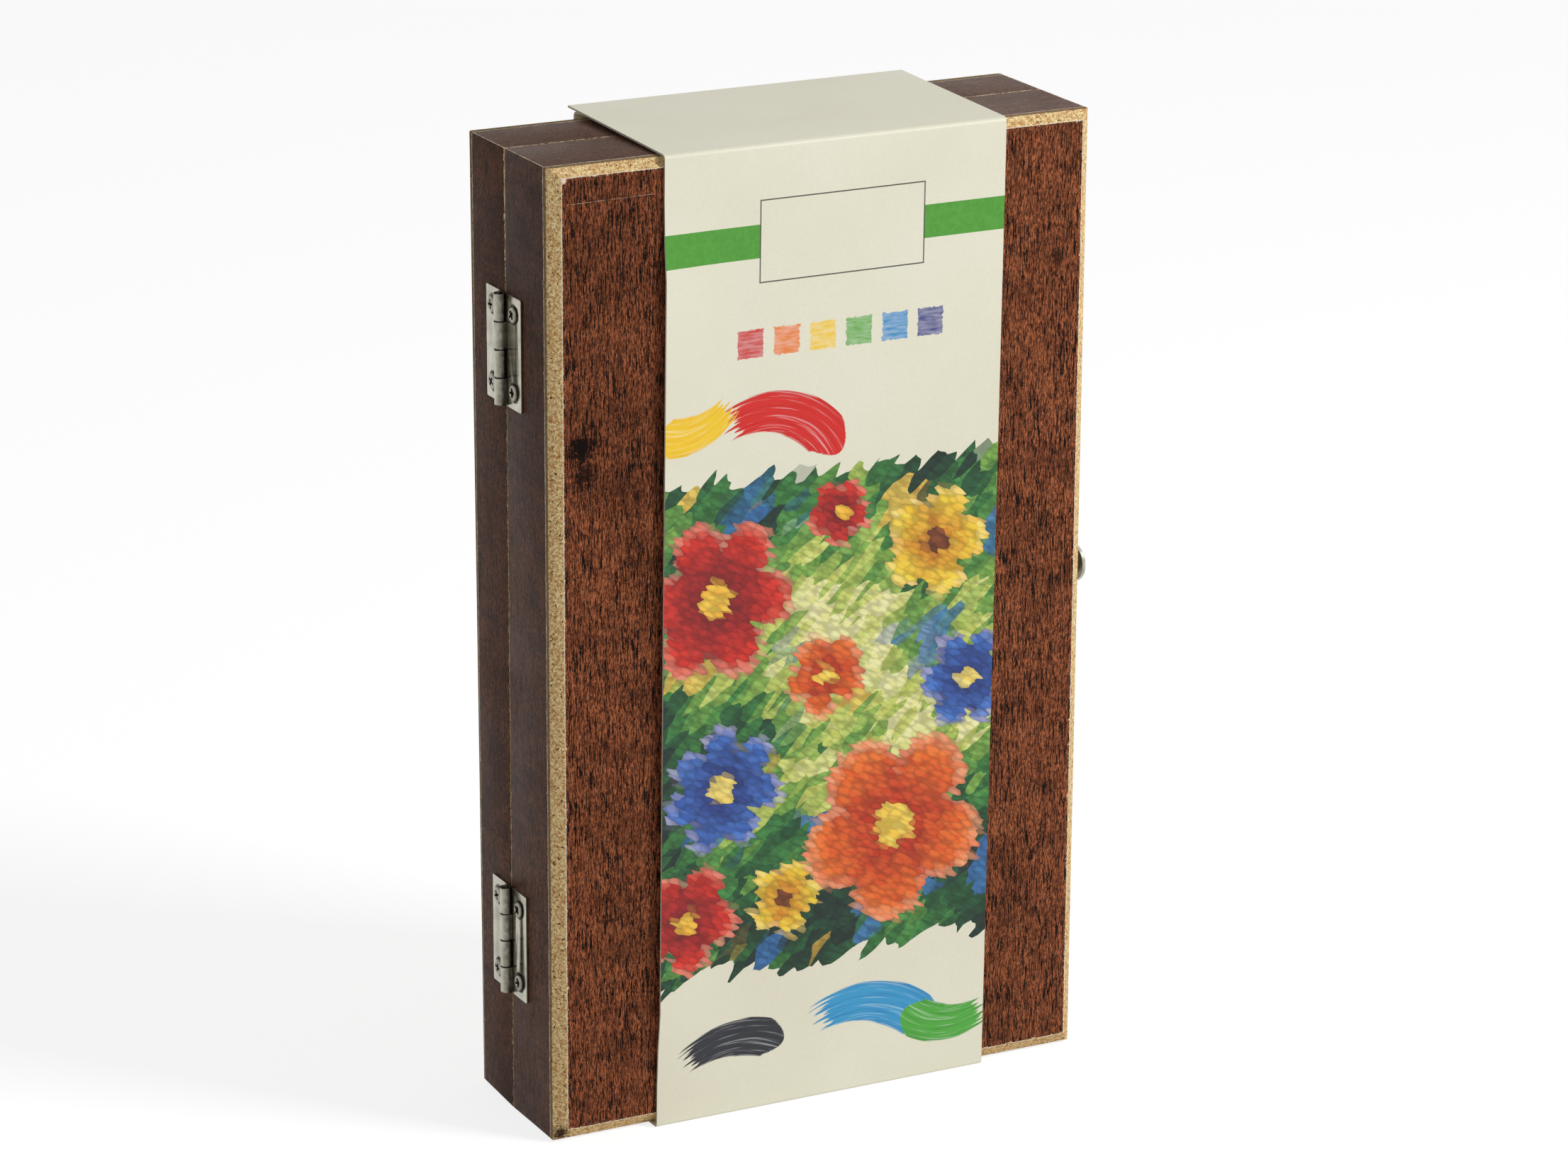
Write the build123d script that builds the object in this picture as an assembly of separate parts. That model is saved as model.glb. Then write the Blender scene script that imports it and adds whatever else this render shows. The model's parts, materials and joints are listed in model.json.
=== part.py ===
from build123d import *
from math import sqrt
import os

# Wooden acrylic paint box, standing on its end inside a card belly band.
# Two shallow half boxes of printed MDF meet on a seam and turn on butt hinges.
# X runs from the hinge side (low) to the latch side (high).
# Y runs from the thick front half (low) to the thin rear half (high).
# Z runs up the long side. The seam is at Y = 0 and the floor at Z = 0.

os.makedirs("parts", exist_ok=True)

# Outer sizes of the box
box_width = 131.2
box_height = 220.0
base_depth = 23.1
lid_depth = 20.4
seam_gap = 0.2

# Boards and panels
panel_thickness = 3.7
board_wall = 7.0
bevel_sides = 2.45
bevel_top = 1.9
bevel_bottom = 2.8

# Card belly band
card = 0.45
band_clearance = 0.3
band_width = 82.65
band_left_at_floor = -41.6
band_skew = 2.3
band_overhang = 2.9
band_rise = 1.05
band_inner_flap = 24.0
band_glue = 0.05
fold_radius = 0.7
bend_radius = 1.0

# Butt hinges
hinge_length = 25.0
hinge_heights = {"lower": 41.1, "upper": 176.6}
leaf_width = 8.7
leaf_thickness = 0.6
leaf_corner = 0.4
barrel_radius = 1.35
barrel_offset = 1.4
pin_radius = 0.6
pin_running = 0.04
pin_proud = 0.2
knuckle_count = 4
knuckle_gap = 0.2
leaf_relief = 0.35
hinge_screw_spacing = 17.2
hinge_screw_inset = 3.4

# Screws
screw_head_radius = 1.95
screw_head_height = 0.65
screw_shank_radius = 0.9
screw_length = 5.8
screw_fit = 0.05
screw_hole_spare = 0.2

# Latch
latch_height = 112.7
latch_sheet = 0.7
latch_plate_width = 27.0
latch_plate_reach = 13.0
latch_screw_spacing = 20.4
latch_plate_start = 0.9
latch_plate_shoulder = 10.5
latch_plate_screw_y = 8.4
latch_pin_out = 2.3
latch_pin_from_seam = 2.6
latch_pin_radius = 0.7
latch_barrel_radius = 1.3
latch_lug_width = 2.6
tongue_width = 11.0
tongue_sheet = 0.8
tongue_reach = 17.4
tongue_flare = 2.9
tongue_side_gap = 0.4
tongue_root = 0.5
tongue_bend = 4.5
tongue_bend_out = 0.3
tongue_bend_radius = 6.0
tongue_end_round = 4.73
tongue_corner = 1.0
slot_width = 6.2
slot_start = 7.3
slot_end = 13.55
strike_reach = 14.8
strike_start = 1.2
strike_shoulder = 7.8
strike_screw_y = 5.6
hook_width = 5.5
hook_out = 5.0
hook_root_near = 5.33
hook_root_far = 6.22
hook_lip = 1.6
hook_tip = 1.5
hook_thickness = 0.85
hook_clearance = 0.15

# Paint tubes
tube_radius = 7.25
tube_body = 74.0
tube_round = 24.0
tube_neck_radius = 3.2
tube_neck = 9.0
crimp_width = 18.0
crimp_thickness = 1.0
crimp_length = 6.0
cap_radius = 7.75
cap_length = 17.0
cap_running = 0.1
cap_end_gap = 0.6
tube_rows = 6
tube_columns = 2
tube_pitch = 19.3
tube_lift = 0.15
tube_column_gap = 6.0

# Backing cards and clear trays
backing = 0.4
tray_sheet = 0.5
tray_side_gap = 0.3
pocket_gap = 0.35
tray_corner = 3.0
pocket_bevel = 0.6
base_flange_below_seam = 6.5
lid_flange_below_seam = 4.5
notch_length = 26.0
notch_depth = 5.0

# Palette
palette_length = 152.0
palette_width = 56.0
palette_thickness = 8.0
palette_corner = 6.0
palette_rim = 4.0
well_count = 6
well_web = 3.5
well_depth = 6.4
well_corner = 3.0
draft = 6.0

# Eraser, sharpener, pencil and brushes
eraser_size = (40.0, 11.0, 20.0)
eraser_sleeve = 0.4
eraser_sleeve_length = 31.0
sharpener_length = 25.0
sharpener_width = 15.0
sharpener_height = 11.0
sharpener_thin_end = 7.0
sharpener_hole_radius = 4.1
sharpener_waist = 1.6
sharpener_waist_length = 18.0
sharpener_tip_radius = 1.0
sharpener_screw_radius = 1.0
sharpener_screw_length = 2.6
sharpener_head_radius = 2.1
sharpener_head_height = 0.7
blade_gap = 0.1
blade_size = (8.0, 0.6, 22.0)
pencil_length = 175.0
pencil_flats = 7.0
pencil_point = 20.0
lead_radius = 1.1
brush_length = 172.0
ferrule_length = 29.0
ferrule_wall = 0.3
ferrule_grip = 8.0
crimp_place = 3.0
crimp_depth = 0.25
handle_butt_radius = 0.8
handle_butt_length = 1.0
handle_thin_radius = 1.35
handle_thin_length = 45.0
handle_swell_length = 25.0
handle_taper_length = 10.0
hair_root_depth = 6.0
hair_gap = 0.2
rest_gap = 0.1
tool_pitch = 12.0
tool_cup_width = 8.6
tool_spare = 0.4
tool_slack = 3.0
tool_margin = 3.2
palette_margin = 3.4
palette_low_margin = 5.0
palette_proud = 1.4
eraser_margin = 5.5
sharpener_gap = 3.5
pencil_gap = 11.3

# Places worked out from the sizes above
half_width = box_width / 2
box_bottom = card
box_top = card + box_height
mid_height = card + box_height / 2
base_seam = -seam_gap / 2
lid_seam = seam_gap / 2
base_floor = -base_depth + panel_thickness
lid_floor = lid_depth - panel_thickness
inner_half_width = half_width - board_wall
inner_half_height = box_height / 2 - board_wall
base_card_face = base_floor + backing
lid_card_face = lid_floor - backing
hinge_axis_x = -half_width - barrel_offset
latch_axis = (half_width + latch_pin_out, latch_pin_from_seam)
parts = {}


def block(x, y, z):
    """A box from three (low, high) pairs."""
    size = [high - low for low, high in (x, y, z)]
    middle = [(high + low) / 2 for low, high in (x, y, z)]
    return Pos(*middle) * Box(*size)


def slab(sketch, y_low, y_high):
    """A flat sketch in X and Z, given its thickness along Y."""
    return extrude(Plane.XZ.offset(-y_high) * sketch, y_high - y_low)


def cornered_slab(x, y, z, size, cut=fillet):
    """A slab from (low, high) pairs with rounded corners, or bevelled ones with chamfer."""
    middle = Pos((x[0] + x[1]) / 2, (z[0] + z[1]) / 2)
    outline = cut(Rectangle(x[1] - x[0], z[1] - z[0]).vertices(), size)
    return slab(middle * outline, *y)


def rod(radius, point, direction, length):
    """A round bar that starts at a point and runs along a direction."""
    return Plane(origin=point, z_dir=direction) * extrude(Circle(radius), length)


def wood_screw(point, outward):
    """A pan head wood screw whose head sits on a point and faces outward."""
    inward = tuple(-part for part in outward)
    shank = rod(screw_shank_radius, point, inward, screw_length)
    return shank + rod(screw_head_radius, point, outward, screw_head_height)


def screw_hole(point, outward):
    """The hole that a wood screw's shank goes into, a little wider than the shank."""
    inward = tuple(-part for part in outward)
    return rod(screw_shank_radius + screw_fit, point, inward, screw_length + screw_hole_spare)


# Screw places are needed by the boards, the hinge leaves and the latch plates.
def hinge_screw_points(side):
    """Screw seats on the leaf of one half: side is -1 for the base, 1 for the lid."""
    x = -half_width - leaf_thickness
    y = side * (leaf_width - hinge_screw_inset)
    spread = hinge_screw_spacing / 2
    return [(x, y, z + way * spread) for z in hinge_heights.values() for way in (-1, 1)]


def latch_screw_points(side):
    """Screw seats on the strike plate (side -1) or the latch plate (side 1)."""
    x = half_width + latch_sheet
    y = -strike_screw_y if side < 0 else latch_plate_screw_y
    return [(x, y, latch_height + way * latch_screw_spacing / 2) for way in (-1, 1)]


# Each half is a frame of four mitred boards.
def mitred_frame(name, y_low, y_high, side):
    x, z = half_width, box_height / 2
    xi, zi = inner_half_width, inner_half_height
    outlines = {
        "left": [(-x, -z), (-xi, -zi), (-xi, zi), (-x, z)],
        "right": [(x, -z), (x, z), (xi, zi), (xi, -zi)],
        "top": [(-x, z), (-xi, zi), (xi, zi), (x, z)],
        "bottom": [(-x, -z), (x, -z), (xi, -zi), (-xi, -zi)],
    }
    for place, outline in outlines.items():
        board = Pos(0, 0, mid_height) * slab(Polygon(*outline, align=None), y_low, y_high)
        if place == "left":
            for point in hinge_screw_points(side):
                board -= screw_hole(point, (-1, 0, 0))
        if place == "right":
            for point in latch_screw_points(side):
                board -= screw_hole(point, (1, 0, 0))
        parts[f"{name}_board_{place}"] = board


mitred_frame("base", base_floor, base_seam, -1)
mitred_frame("lid", lid_seam, lid_floor, 1)


# The panels close the two halves, and their outer edges are sanded to a bevel.
def panel(y_inner, y_outer):
    way = 1 if y_outer > y_inner else -1
    low, high = sorted((y_inner, y_outer))
    solid = block((-half_width, half_width), (low, high), (box_bottom, box_top))

    def wedge_along_z(edge, leg):
        inward = -1 if edge > 0 else 1
        corner = Polyline(
            (edge, y_outer), (edge + inward * leg, y_outer), (edge, y_outer - way * leg), close=True
        )
        return extrude(Plane.XY * make_face(corner), box_top + 1)

    def wedge_along_x(edge, leg):
        inward = -1 if edge > mid_height else 1
        corner = Polyline(
            (y_outer, edge), (y_outer, edge + inward * leg), (y_outer - way * leg, edge), close=True
        )
        return extrude(Plane.YZ.offset(-half_width - 1) * make_face(corner), box_width + 2)

    solid -= wedge_along_z(-half_width, bevel_sides)
    solid -= wedge_along_z(half_width, bevel_sides)
    solid -= wedge_along_x(box_top, bevel_top)
    return solid - wedge_along_x(box_bottom, bevel_bottom)


parts["base_panel"] = panel(base_floor, -base_depth)
parts["lid_panel"] = panel(lid_floor, lid_depth)


# The hinge leaves have alternate knuckles on one pin.
def hinge_leaf(z_middle, side, first_knuckle):
    z_low = z_middle - hinge_length / 2
    near = barrel_radius + leaf_relief
    sheet = (-half_width - leaf_thickness, -half_width)
    y_span = sorted((side * near, side * leaf_width))
    leaf = block(sheet, y_span, (z_low, z_low + hinge_length))
    outer_edges = leaf.edges().filter_by(Axis.X).group_by(Axis.Y)[0 if side < 0 else -1]
    leaf = fillet(outer_edges, leaf_corner)
    pitch = hinge_length / knuckle_count
    for index in range(first_knuckle, knuckle_count, 2):
        low = z_low + index * pitch + knuckle_gap / 2
        high = low + pitch - knuckle_gap
        leaf += Pos(hinge_axis_x, 0, low) * extrude(Circle(barrel_radius), high - low)
        tab_y = sorted((side * 0.5, side * (near + 0.2)))
        leaf += block(sheet, tab_y, (low, high))
    leaf -= rod(pin_radius + pin_running, (hinge_axis_x, 0, z_low - 1), (0, 0, 1), hinge_length + 2)
    for point in hinge_screw_points(side):
        if abs(point[2] - z_middle) < hinge_length / 2:
            leaf -= rod(screw_shank_radius + screw_fit, point, (1, 0, 0), leaf_thickness + 0.1)
    return leaf


for place, z_middle in hinge_heights.items():
    parts[f"{place}_hinge_base_leaf"] = hinge_leaf(z_middle, -1, 0)
    parts[f"{place}_hinge_lid_leaf"] = hinge_leaf(z_middle, 1, 1)
    pin_start = (hinge_axis_x, 0, z_middle - hinge_length / 2 - pin_proud)
    parts[f"{place}_hinge_pin"] = rod(pin_radius, pin_start, (0, 0, 1), hinge_length + 2 * pin_proud)

hinge_out = (-1, 0, 0)
latch_out = (1, 0, 0)
parts["base_hinge_screws"] = Compound([wood_screw(p, hinge_out) for p in hinge_screw_points(-1)])
parts["lid_hinge_screws"] = Compound([wood_screw(p, hinge_out) for p in hinge_screw_points(1)])
parts["strike_screws"] = Compound([wood_screw(p, latch_out) for p in latch_screw_points(-1)])
parts["latch_plate_screws"] = Compound([wood_screw(p, latch_out) for p in latch_screw_points(1)])


# The strike plate on the base has a folded hook. The hook's outer face follows the
# circle that the tongue's slot swings on, so that the tongue lifts off it cleanly.
def side_sheet(points, arc_tip):
    """Sheet on the latch side: an outline in Y and height, closed by an arc through a tip."""
    run = Polyline(*points)
    bow = ThreePointArc(run @ 1, arc_tip, run @ 0)
    return extrude(Plane.YZ.offset(half_width) * make_face([run, bow]), latch_sheet)


def latch_circle_y(x, radius):
    """Y of the point at a radius from the latch pin, on the base's side of it."""
    return latch_axis[1] - sqrt(radius**2 - (x - latch_axis[0]) ** 2)


latch_low = latch_height - latch_plate_width / 2
latch_high = latch_height + latch_plate_width / 2
strike = side_sheet(
    [
        (-strike_shoulder, latch_low),
        (-strike_start, latch_low),
        (-strike_start, latch_high),
        (-strike_shoulder, latch_high),
    ],
    (-strike_reach, latch_height),
)
hook_radius = slot_end - hook_clearance
face = half_width + latch_sheet / 2
lip = face + hook_lip
tip = half_width + hook_out
hook_run = Polyline(
    (face, -hook_root_near),
    (face, -hook_root_far),
    (tip - hook_tip, latch_circle_y(tip - hook_tip, hook_radius) + hook_thickness),
    (lip, latch_circle_y(lip, hook_radius) + hook_thickness),
    (lip, latch_circle_y(lip, hook_radius)),
)
hook_face = ThreePointArc(
    hook_run @ 1,
    (tip - hook_tip, latch_circle_y(tip - hook_tip, hook_radius)),
    (tip, latch_circle_y(tip, hook_radius)),
)
hook_back = Line(hook_face @ 1, hook_run @ 0)
hook = extrude(
    Plane.XY.offset(latch_height - hook_width / 2) * make_face([hook_run, hook_face, hook_back]),
    hook_width,
)
strike += hook
for point in latch_screw_points(-1):
    strike -= rod(screw_shank_radius + screw_fit, point, (-1, 0, 0), latch_sheet + 0.1)
parts["strike_plate"] = strike

# The latch plate on the lid carries the tongue's pin in two rolled lugs.
latch_plate = side_sheet(
    [
        (latch_plate_shoulder, latch_high),
        (latch_plate_start, latch_high),
        (latch_plate_start, latch_low),
        (latch_plate_shoulder, latch_low),
    ],
    (latch_plate_reach, latch_height),
)
tongue_half = tongue_width / 2
for way in (-1, 1):
    near = latch_height + way * (tongue_half + tongue_side_gap)
    low, high = sorted((near, near + way * latch_lug_width))
    latch_plate += Pos(*latch_axis, low) * extrude(Circle(latch_barrel_radius), high - low)
    lug_y = (latch_axis[1] - latch_barrel_radius, latch_axis[1] + latch_barrel_radius)
    latch_plate += block((half_width + latch_sheet / 2, latch_axis[0]), lug_y, (low, high))
latch_pin_length = tongue_width + 2 * (tongue_side_gap + latch_lug_width + pin_proud)
latch_pin_low = (*latch_axis, latch_height - latch_pin_length / 2)
latch_bore = rod(latch_pin_radius + pin_running, latch_pin_low, (0, 0, 1), latch_pin_length)
latch_plate -= latch_bore
for point in latch_screw_points(1):
    latch_plate -= rod(screw_shank_radius + screw_fit, point, (-1, 0, 0), latch_sheet + 0.1)
parts["latch_plate"] = latch_plate
parts["latch_pin"] = rod(latch_pin_radius, latch_pin_low, (0, 0, 1), latch_pin_length)

# The tongue is rolled round the pin, runs over the seam and flares at its finger end.
pin_x, pin_y = latch_axis
tongue_path = FilletPolyline(
    (pin_x + latch_pin_radius + tongue_root, pin_y),
    (pin_x + tongue_bend_out, pin_y - tongue_bend),
    (pin_x + tongue_flare, pin_y - tongue_reach),
    radius=tongue_bend_radius,
)
tongue = extrude(
    Plane.XY.offset(latch_height - tongue_half) * trace(tongue_path, tongue_sheet), tongue_width
)
tongue_end = pin_y - tongue_reach
round_centre = tongue_end + tongue_end_round
straight_end = pin_y + latch_barrel_radius
straight = Pos((round_centre + straight_end) / 2, latch_height) * Rectangle(
    straight_end - round_centre, tongue_width
)
rounding = Pos(round_centre, latch_height) * Circle(tongue_end_round) + straight
rounding = fillet(rounding.vertices().group_by(Axis.X)[1], tongue_corner)
tongue &= extrude(Plane.YZ.offset(half_width) * rounding, hook_out * 3)
tongue += Pos(*latch_axis, latch_height - tongue_half) * extrude(
    Circle(latch_barrel_radius), tongue_width
)
slot = block(
    (pin_x - 3, pin_x + 6),
    (latch_circle_y(pin_x + 2, slot_end), pin_y - slot_start),
    (latch_height - slot_width / 2, latch_height + slot_width / 2),
)
parts["latch_tongue"] = tongue - slot - latch_bore


# The belly band is one strip of card. Its back ply folds over the top with a soft
# bend and lies under the front ply, which stops short past the rear edge.
front_y = -base_depth - band_clearance - card / 2
back_y = lid_depth + band_clearance + card / 2
ply_low = box_top + band_clearance + card / 2
ply_length = back_y + card / 2 + band_overhang - front_y


def ply_height(y, below=0.0):
    """Height of the top ply's middle line, which climbs a little towards the back."""
    return ply_low + band_rise * (y - front_y) / ply_length - below


rear_end = front_y + ply_length
band_line = FilletPolyline(
    (rear_end, ply_height(rear_end)),
    (front_y, ply_height(front_y)),
    (front_y, card / 2),
    (back_y, card / 2),
    (back_y, ply_height(back_y, card + band_glue)),
    (back_y - band_inner_flap, ply_height(back_y - band_inner_flap, card + band_glue)),
    radius=[fold_radius, fold_radius, fold_radius, bend_radius],
)
band_strip = extrude(Plane.YZ.offset(-half_width) * trace(band_line, card), box_width)
band_top = box_top + 20
band_lean = band_skew * band_top / box_height
band_right_at_floor = band_left_at_floor + band_width
band_cut = Polygon(
    (band_left_at_floor, 0),
    (band_right_at_floor, 0),
    (band_right_at_floor + band_lean, band_top),
    (band_left_at_floor + band_lean, band_top),
    align=None,
)
parts["belly_band"] = band_strip & slab(band_cut, -base_depth - 10, lid_depth + 10)


# Printed backing cards line the floors of both halves.
inner_x = (-inner_half_width, inner_half_width)
inner_z = (mid_height - inner_half_height, mid_height + inner_half_height)
parts["base_backing_card"] = block(inner_x, (base_floor, base_card_face), inner_z)
parts["lid_backing_card"] = block(inner_x, (lid_card_face, lid_floor), inner_z)


# A formed tray is a flange with a thin cup for each thing that it holds.
def formed_tray(flange_y, floor_y, cups, bevel=pocket_bevel):
    """Tray whose cups open towards the seam. A cup is its x, z spans and its depth."""
    way = 1 if floor_y > flange_y else -1
    spans = [(low + tray_side_gap, high - tray_side_gap) for low, high in (inner_x, inner_z)]
    flange = sorted((flange_y, flange_y + way * tray_sheet))
    tray = cornered_slab(spans[0], flange, spans[1], tray_corner)
    hollow = []
    for x, z, floor in cups:
        grown = [(low - tray_sheet, high + tray_sheet) for low, high in (x, z)]
        outer = sorted((flange_y, floor))
        inner = sorted((flange_y - way, floor - way * tray_sheet))
        tray += cornered_slab(grown[0], outer, grown[1], bevel, chamfer)
        hollow.append(cornered_slab(x, inner, z, bevel, chamfer))
    for cup in hollow:
        tray -= cup
    return tray


def around(middle, size):
    """A (low, high) pair of a size about a middle, with the tray's own gap."""
    return (middle - size / 2 - pocket_gap, middle + size / 2 + pocket_gap)


tube_total = cap_length + tube_body
column_pitch = tube_total + 2 * pocket_gap + tube_column_gap
tube_y = base_card_face + tray_sheet + tube_lift + cap_radius
row_x = [(row - (tube_rows - 1) / 2) * tube_pitch for row in range(tube_rows)]
column_z = [
    mid_height + (column - (tube_columns - 1) / 2) * column_pitch for column in range(tube_columns)
]
tube_cup_width = max(crimp_width, 2 * cap_radius)
tube_cups = [
    (around(x, tube_cup_width), around(z, tube_total), base_card_face)
    for z in column_z
    for x in row_x
]
for z in column_z:
    notch_x = (around(row_x[0], tube_cup_width)[0], around(row_x[-1], tube_cup_width)[1])
    tube_cups.append((notch_x, around(z, notch_length), -base_flange_below_seam - notch_depth))
# The cups' corners leave room for the flat ends of the caps.
cap_corner_room = pocket_gap + tube_cup_width / 2 - cap_radius
tube_bevel = min(pocket_bevel, cap_corner_room)
parts["base_tray"] = formed_tray(-base_flange_below_seam, base_card_face, tube_cups, tube_bevel)


# A tube is round behind its neck and flattens to a crimp. Caps point to the low end.
def paint_tube(x, z_low):
    place = Pos(x, tube_y, z_low + cap_length)
    crimp_start = tube_body - crimp_length
    crimp = Rectangle(crimp_width, crimp_thickness)
    flattening = loft(
        [Pos(0, 0, tube_round) * Circle(tube_radius), Pos(0, 0, crimp_start) * crimp], ruled=True
    )
    body = extrude(Circle(tube_radius), tube_round) + flattening
    body += extrude(Pos(0, 0, crimp_start) * crimp, crimp_length)
    neck = extrude(Circle(tube_neck_radius), -tube_neck)
    return place * (body + neck)


def tube_cap(x, z_low):
    """A cap whose mouth meets the tube's flat shoulder, with a blind bore for the neck."""
    bore_length = tube_neck + cap_end_gap
    bore = Pos(0, 0, cap_length - bore_length) * Cylinder(
        tube_neck_radius + cap_running, bore_length, align=(Align.CENTER, Align.CENTER, Align.MIN)
    )
    return Pos(x, tube_y, z_low) * (extrude(Circle(cap_radius), cap_length) - bore)


caps = []
number = 1
for z_middle in column_z:
    for x in row_x:
        z_low = z_middle - tube_total / 2
        parts[f"paint_tube_{number:02d}"] = paint_tube(x, z_low)
        caps.append(tube_cap(x, z_low))
        number += 1
parts["tube_caps"] = Compound(caps)

# The lid's tray holds the palette by the latch side, the eraser and the sharpener at
# its high end, and the pencil and the brushes side by side by the hinge side.
palette_x = inner_half_width - palette_margin - palette_width / 2
palette_z = inner_z[0] + palette_low_margin + palette_length / 2
palette_face = lid_flange_below_seam - palette_proud
eraser_x = inner_half_width - eraser_margin - eraser_size[0] / 2
side_z = (palette_z + palette_length / 2 + inner_z[1]) / 2
sharpener_x = eraser_x - eraser_size[0] / 2 - sharpener_gap - sharpener_width / 2
cup_floor = lid_card_face - tray_sheet
pencil_x = palette_x - palette_width / 2 - pencil_gap
brush_x = [pencil_x - tool_pitch * (count + 1) for count in range(3)]
tool_top = inner_z[1] - tool_margin
lid_cups = [
    (
        around(palette_x, palette_width),
        around(palette_z, palette_length),
        palette_face + palette_thickness + tray_sheet,
    ),
    (around(eraser_x, eraser_size[0]), around(side_z, eraser_size[2]), lid_card_face),
    (around(sharpener_x, sharpener_width), around(side_z, sharpener_length), lid_card_face),
]
tool_cup_z = (tool_top - pencil_length - tool_slack, tool_top + pocket_gap)
pencil_corners = 2 * pencil_flats / sqrt(3)
tool_cup = max(tool_cup_width, pencil_corners + tool_spare)
for x in [pencil_x] + brush_x:
    lid_cups.append((around(x, tool_cup), tool_cup_z, lid_card_face))
notch_x = (around(brush_x[-1], tool_cup)[0], around(pencil_x, tool_cup)[1])
lid_cups.append((notch_x, around(mid_height, notch_length), lid_flange_below_seam + notch_depth))
parts["lid_tray"] = formed_tray(lid_flange_below_seam, lid_card_face, lid_cups)

# The palette is moulded with six drafted wells in a row, open towards the seam.
palette_span_x = (palette_x - palette_width / 2, palette_x + palette_width / 2)
palette_span_z = (palette_z - palette_length / 2, palette_z + palette_length / 2)
palette_back = palette_face + palette_thickness
palette = cornered_slab(palette_span_x, (palette_face, palette_back), palette_span_z, palette_corner)
well_length = (palette_length - 2 * palette_rim - (well_count - 1) * well_web) / well_count
well_width = palette_width - 2 * palette_rim
wells_z = [
    palette_span_z[0] + palette_rim + well_length / 2 + index * (well_length + well_web)
    for index in range(well_count)
]
for z in wells_z:
    mouth = Plane.XZ.offset(-palette_face + 0.001) * Pos(palette_x, z)
    palette -= extrude(
        mouth * RectangleRounded(well_width, well_length, well_corner), -well_depth, taper=draft
    )
parts["palette"] = palette


# The eraser is a block in a card sleeve that leaves its two ends bare.
eraser_y = (cup_floor - eraser_size[1], cup_floor)
core_y = (eraser_y[0] + eraser_sleeve, eraser_y[1] - eraser_sleeve)
eraser_span = (eraser_x - eraser_size[0] / 2, eraser_x + eraser_size[0] / 2)
core_z = (side_z - eraser_size[2] / 2 + eraser_sleeve, side_z + eraser_size[2] / 2 - eraser_sleeve)
eraser = block(eraser_span, core_y, core_z)
parts["eraser"] = fillet(eraser.edges().filter_by(Axis.X), 1.0)
sleeve_span = (eraser_span[0] + 2.0, eraser_span[0] + 2.0 + eraser_sleeve_length)
sleeve_z = (side_z - eraser_size[2] / 2, side_z + eraser_size[2] / 2)
parts["eraser_sleeve"] = block(sleeve_span, eraser_y, sleeve_z) - block(eraser_span, core_y, core_z)


# The sharpener is a metal wedge with waisted sides, a tapered hole and a slanting blade.
sharp_low = side_z - sharpener_length / 2
sharp_high = side_z + sharpener_length / 2
wedge_outline = Polygon(
    (cup_floor, sharp_low),
    (cup_floor, sharp_high),
    (cup_floor - sharpener_thin_end, sharp_high),
    (cup_floor - sharpener_height, sharp_low),
    align=None,
)
sharpener = extrude(
    Plane.YZ.offset(sharpener_x - sharpener_width / 2) * wedge_outline, sharpener_width
)
waist_radius = (sharpener_waist_length / 2) ** 2 / (2 * sharpener_waist)
for way in (-1, 1):
    centre_x = sharpener_x + way * (sharpener_width / 2 + waist_radius - sharpener_waist)
    low_end = (centre_x, cup_floor - sharpener_height, side_z)
    sharpener -= rod(waist_radius, low_end, (0, 1, 0), sharpener_height)
hole_y = cup_floor - sharpener_height / 2
sharpener -= Pos(sharpener_x, hole_y, side_z) * Cone(
    sharpener_hole_radius, sharpener_tip_radius, sharpener_length
)
slant = (sharpener_height - sharpener_thin_end) / sharpener_length
blade_plane = Plane(
    origin=(sharpener_x, cup_floor - (sharpener_height + sharpener_thin_end) / 2, side_z),
    x_dir=(1, 0, 0),
    z_dir=(0, -1, slant),
)
blade_seat = blade_plane * Box(blade_size[0], blade_size[2], blade_size[1] * 2)
sharpener -= blade_seat
blade_low = blade_plane.offset(-blade_size[1] / 2)
blade = blade_low * Box(
    blade_size[0] - blade_gap, blade_size[2] - 2 * blade_gap, blade_size[1]
)
through = blade_plane * Cylinder(sharpener_screw_radius + blade_gap, sharpener_height)
thread = blade_plane * extrude(Circle(sharpener_screw_radius), -sharpener_screw_length)
head = blade_plane * extrude(Circle(sharpener_head_radius), sharpener_head_height)
thread_hole = extrude(Circle(sharpener_screw_radius), -sharpener_screw_length - blade_gap)
parts["sharpener_blade"] = blade - through
parts["sharpener_screw"] = head + thread
parts["sharpener_body"] = sharpener - blade_plane * thread_hole


# The pencil is a six sided case cut to a cone, which scallops its paint, and a lead.
pencil_y = cup_floor - pencil_flats / 2
pencil_low = tool_top - pencil_length
case = Pos(pencil_x, pencil_y, pencil_low) * extrude(
    RegularPolygon(pencil_flats / 2, 6, major_radius=False), pencil_length
)
point_slope = (pencil_flats / sqrt(3) + 0.1) / pencil_point
case_end = pencil_low + lead_radius / point_slope
sharpened = Polyline(
    (0, 0), (pencil_length * point_slope, pencil_length), (0, pencil_length), close=True
)
cone = Pos(pencil_x, pencil_y, pencil_low) * revolve(Plane.XZ * make_face(sharpened), Axis.Z)
lead_bar = rod(lead_radius, (pencil_x, pencil_y, pencil_low), (0, 0, 1), pencil_length)
parts["pencil_case"] = (case & cone) - lead_bar
parts["pencil_lead"] = lead_bar & cone


# A brush is a turned handle, a crimped metal ferrule and a tuft of hair. Radii and
# heights are measured from the tool's axis and down from its upper end.
def turned(x, y, z_top, outline):
    """Revolve a closed outline of edges about the tool's axis."""
    return Pos(x, y, z_top) * revolve(Plane.XZ * make_face(outline), Axis.Z)


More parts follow.
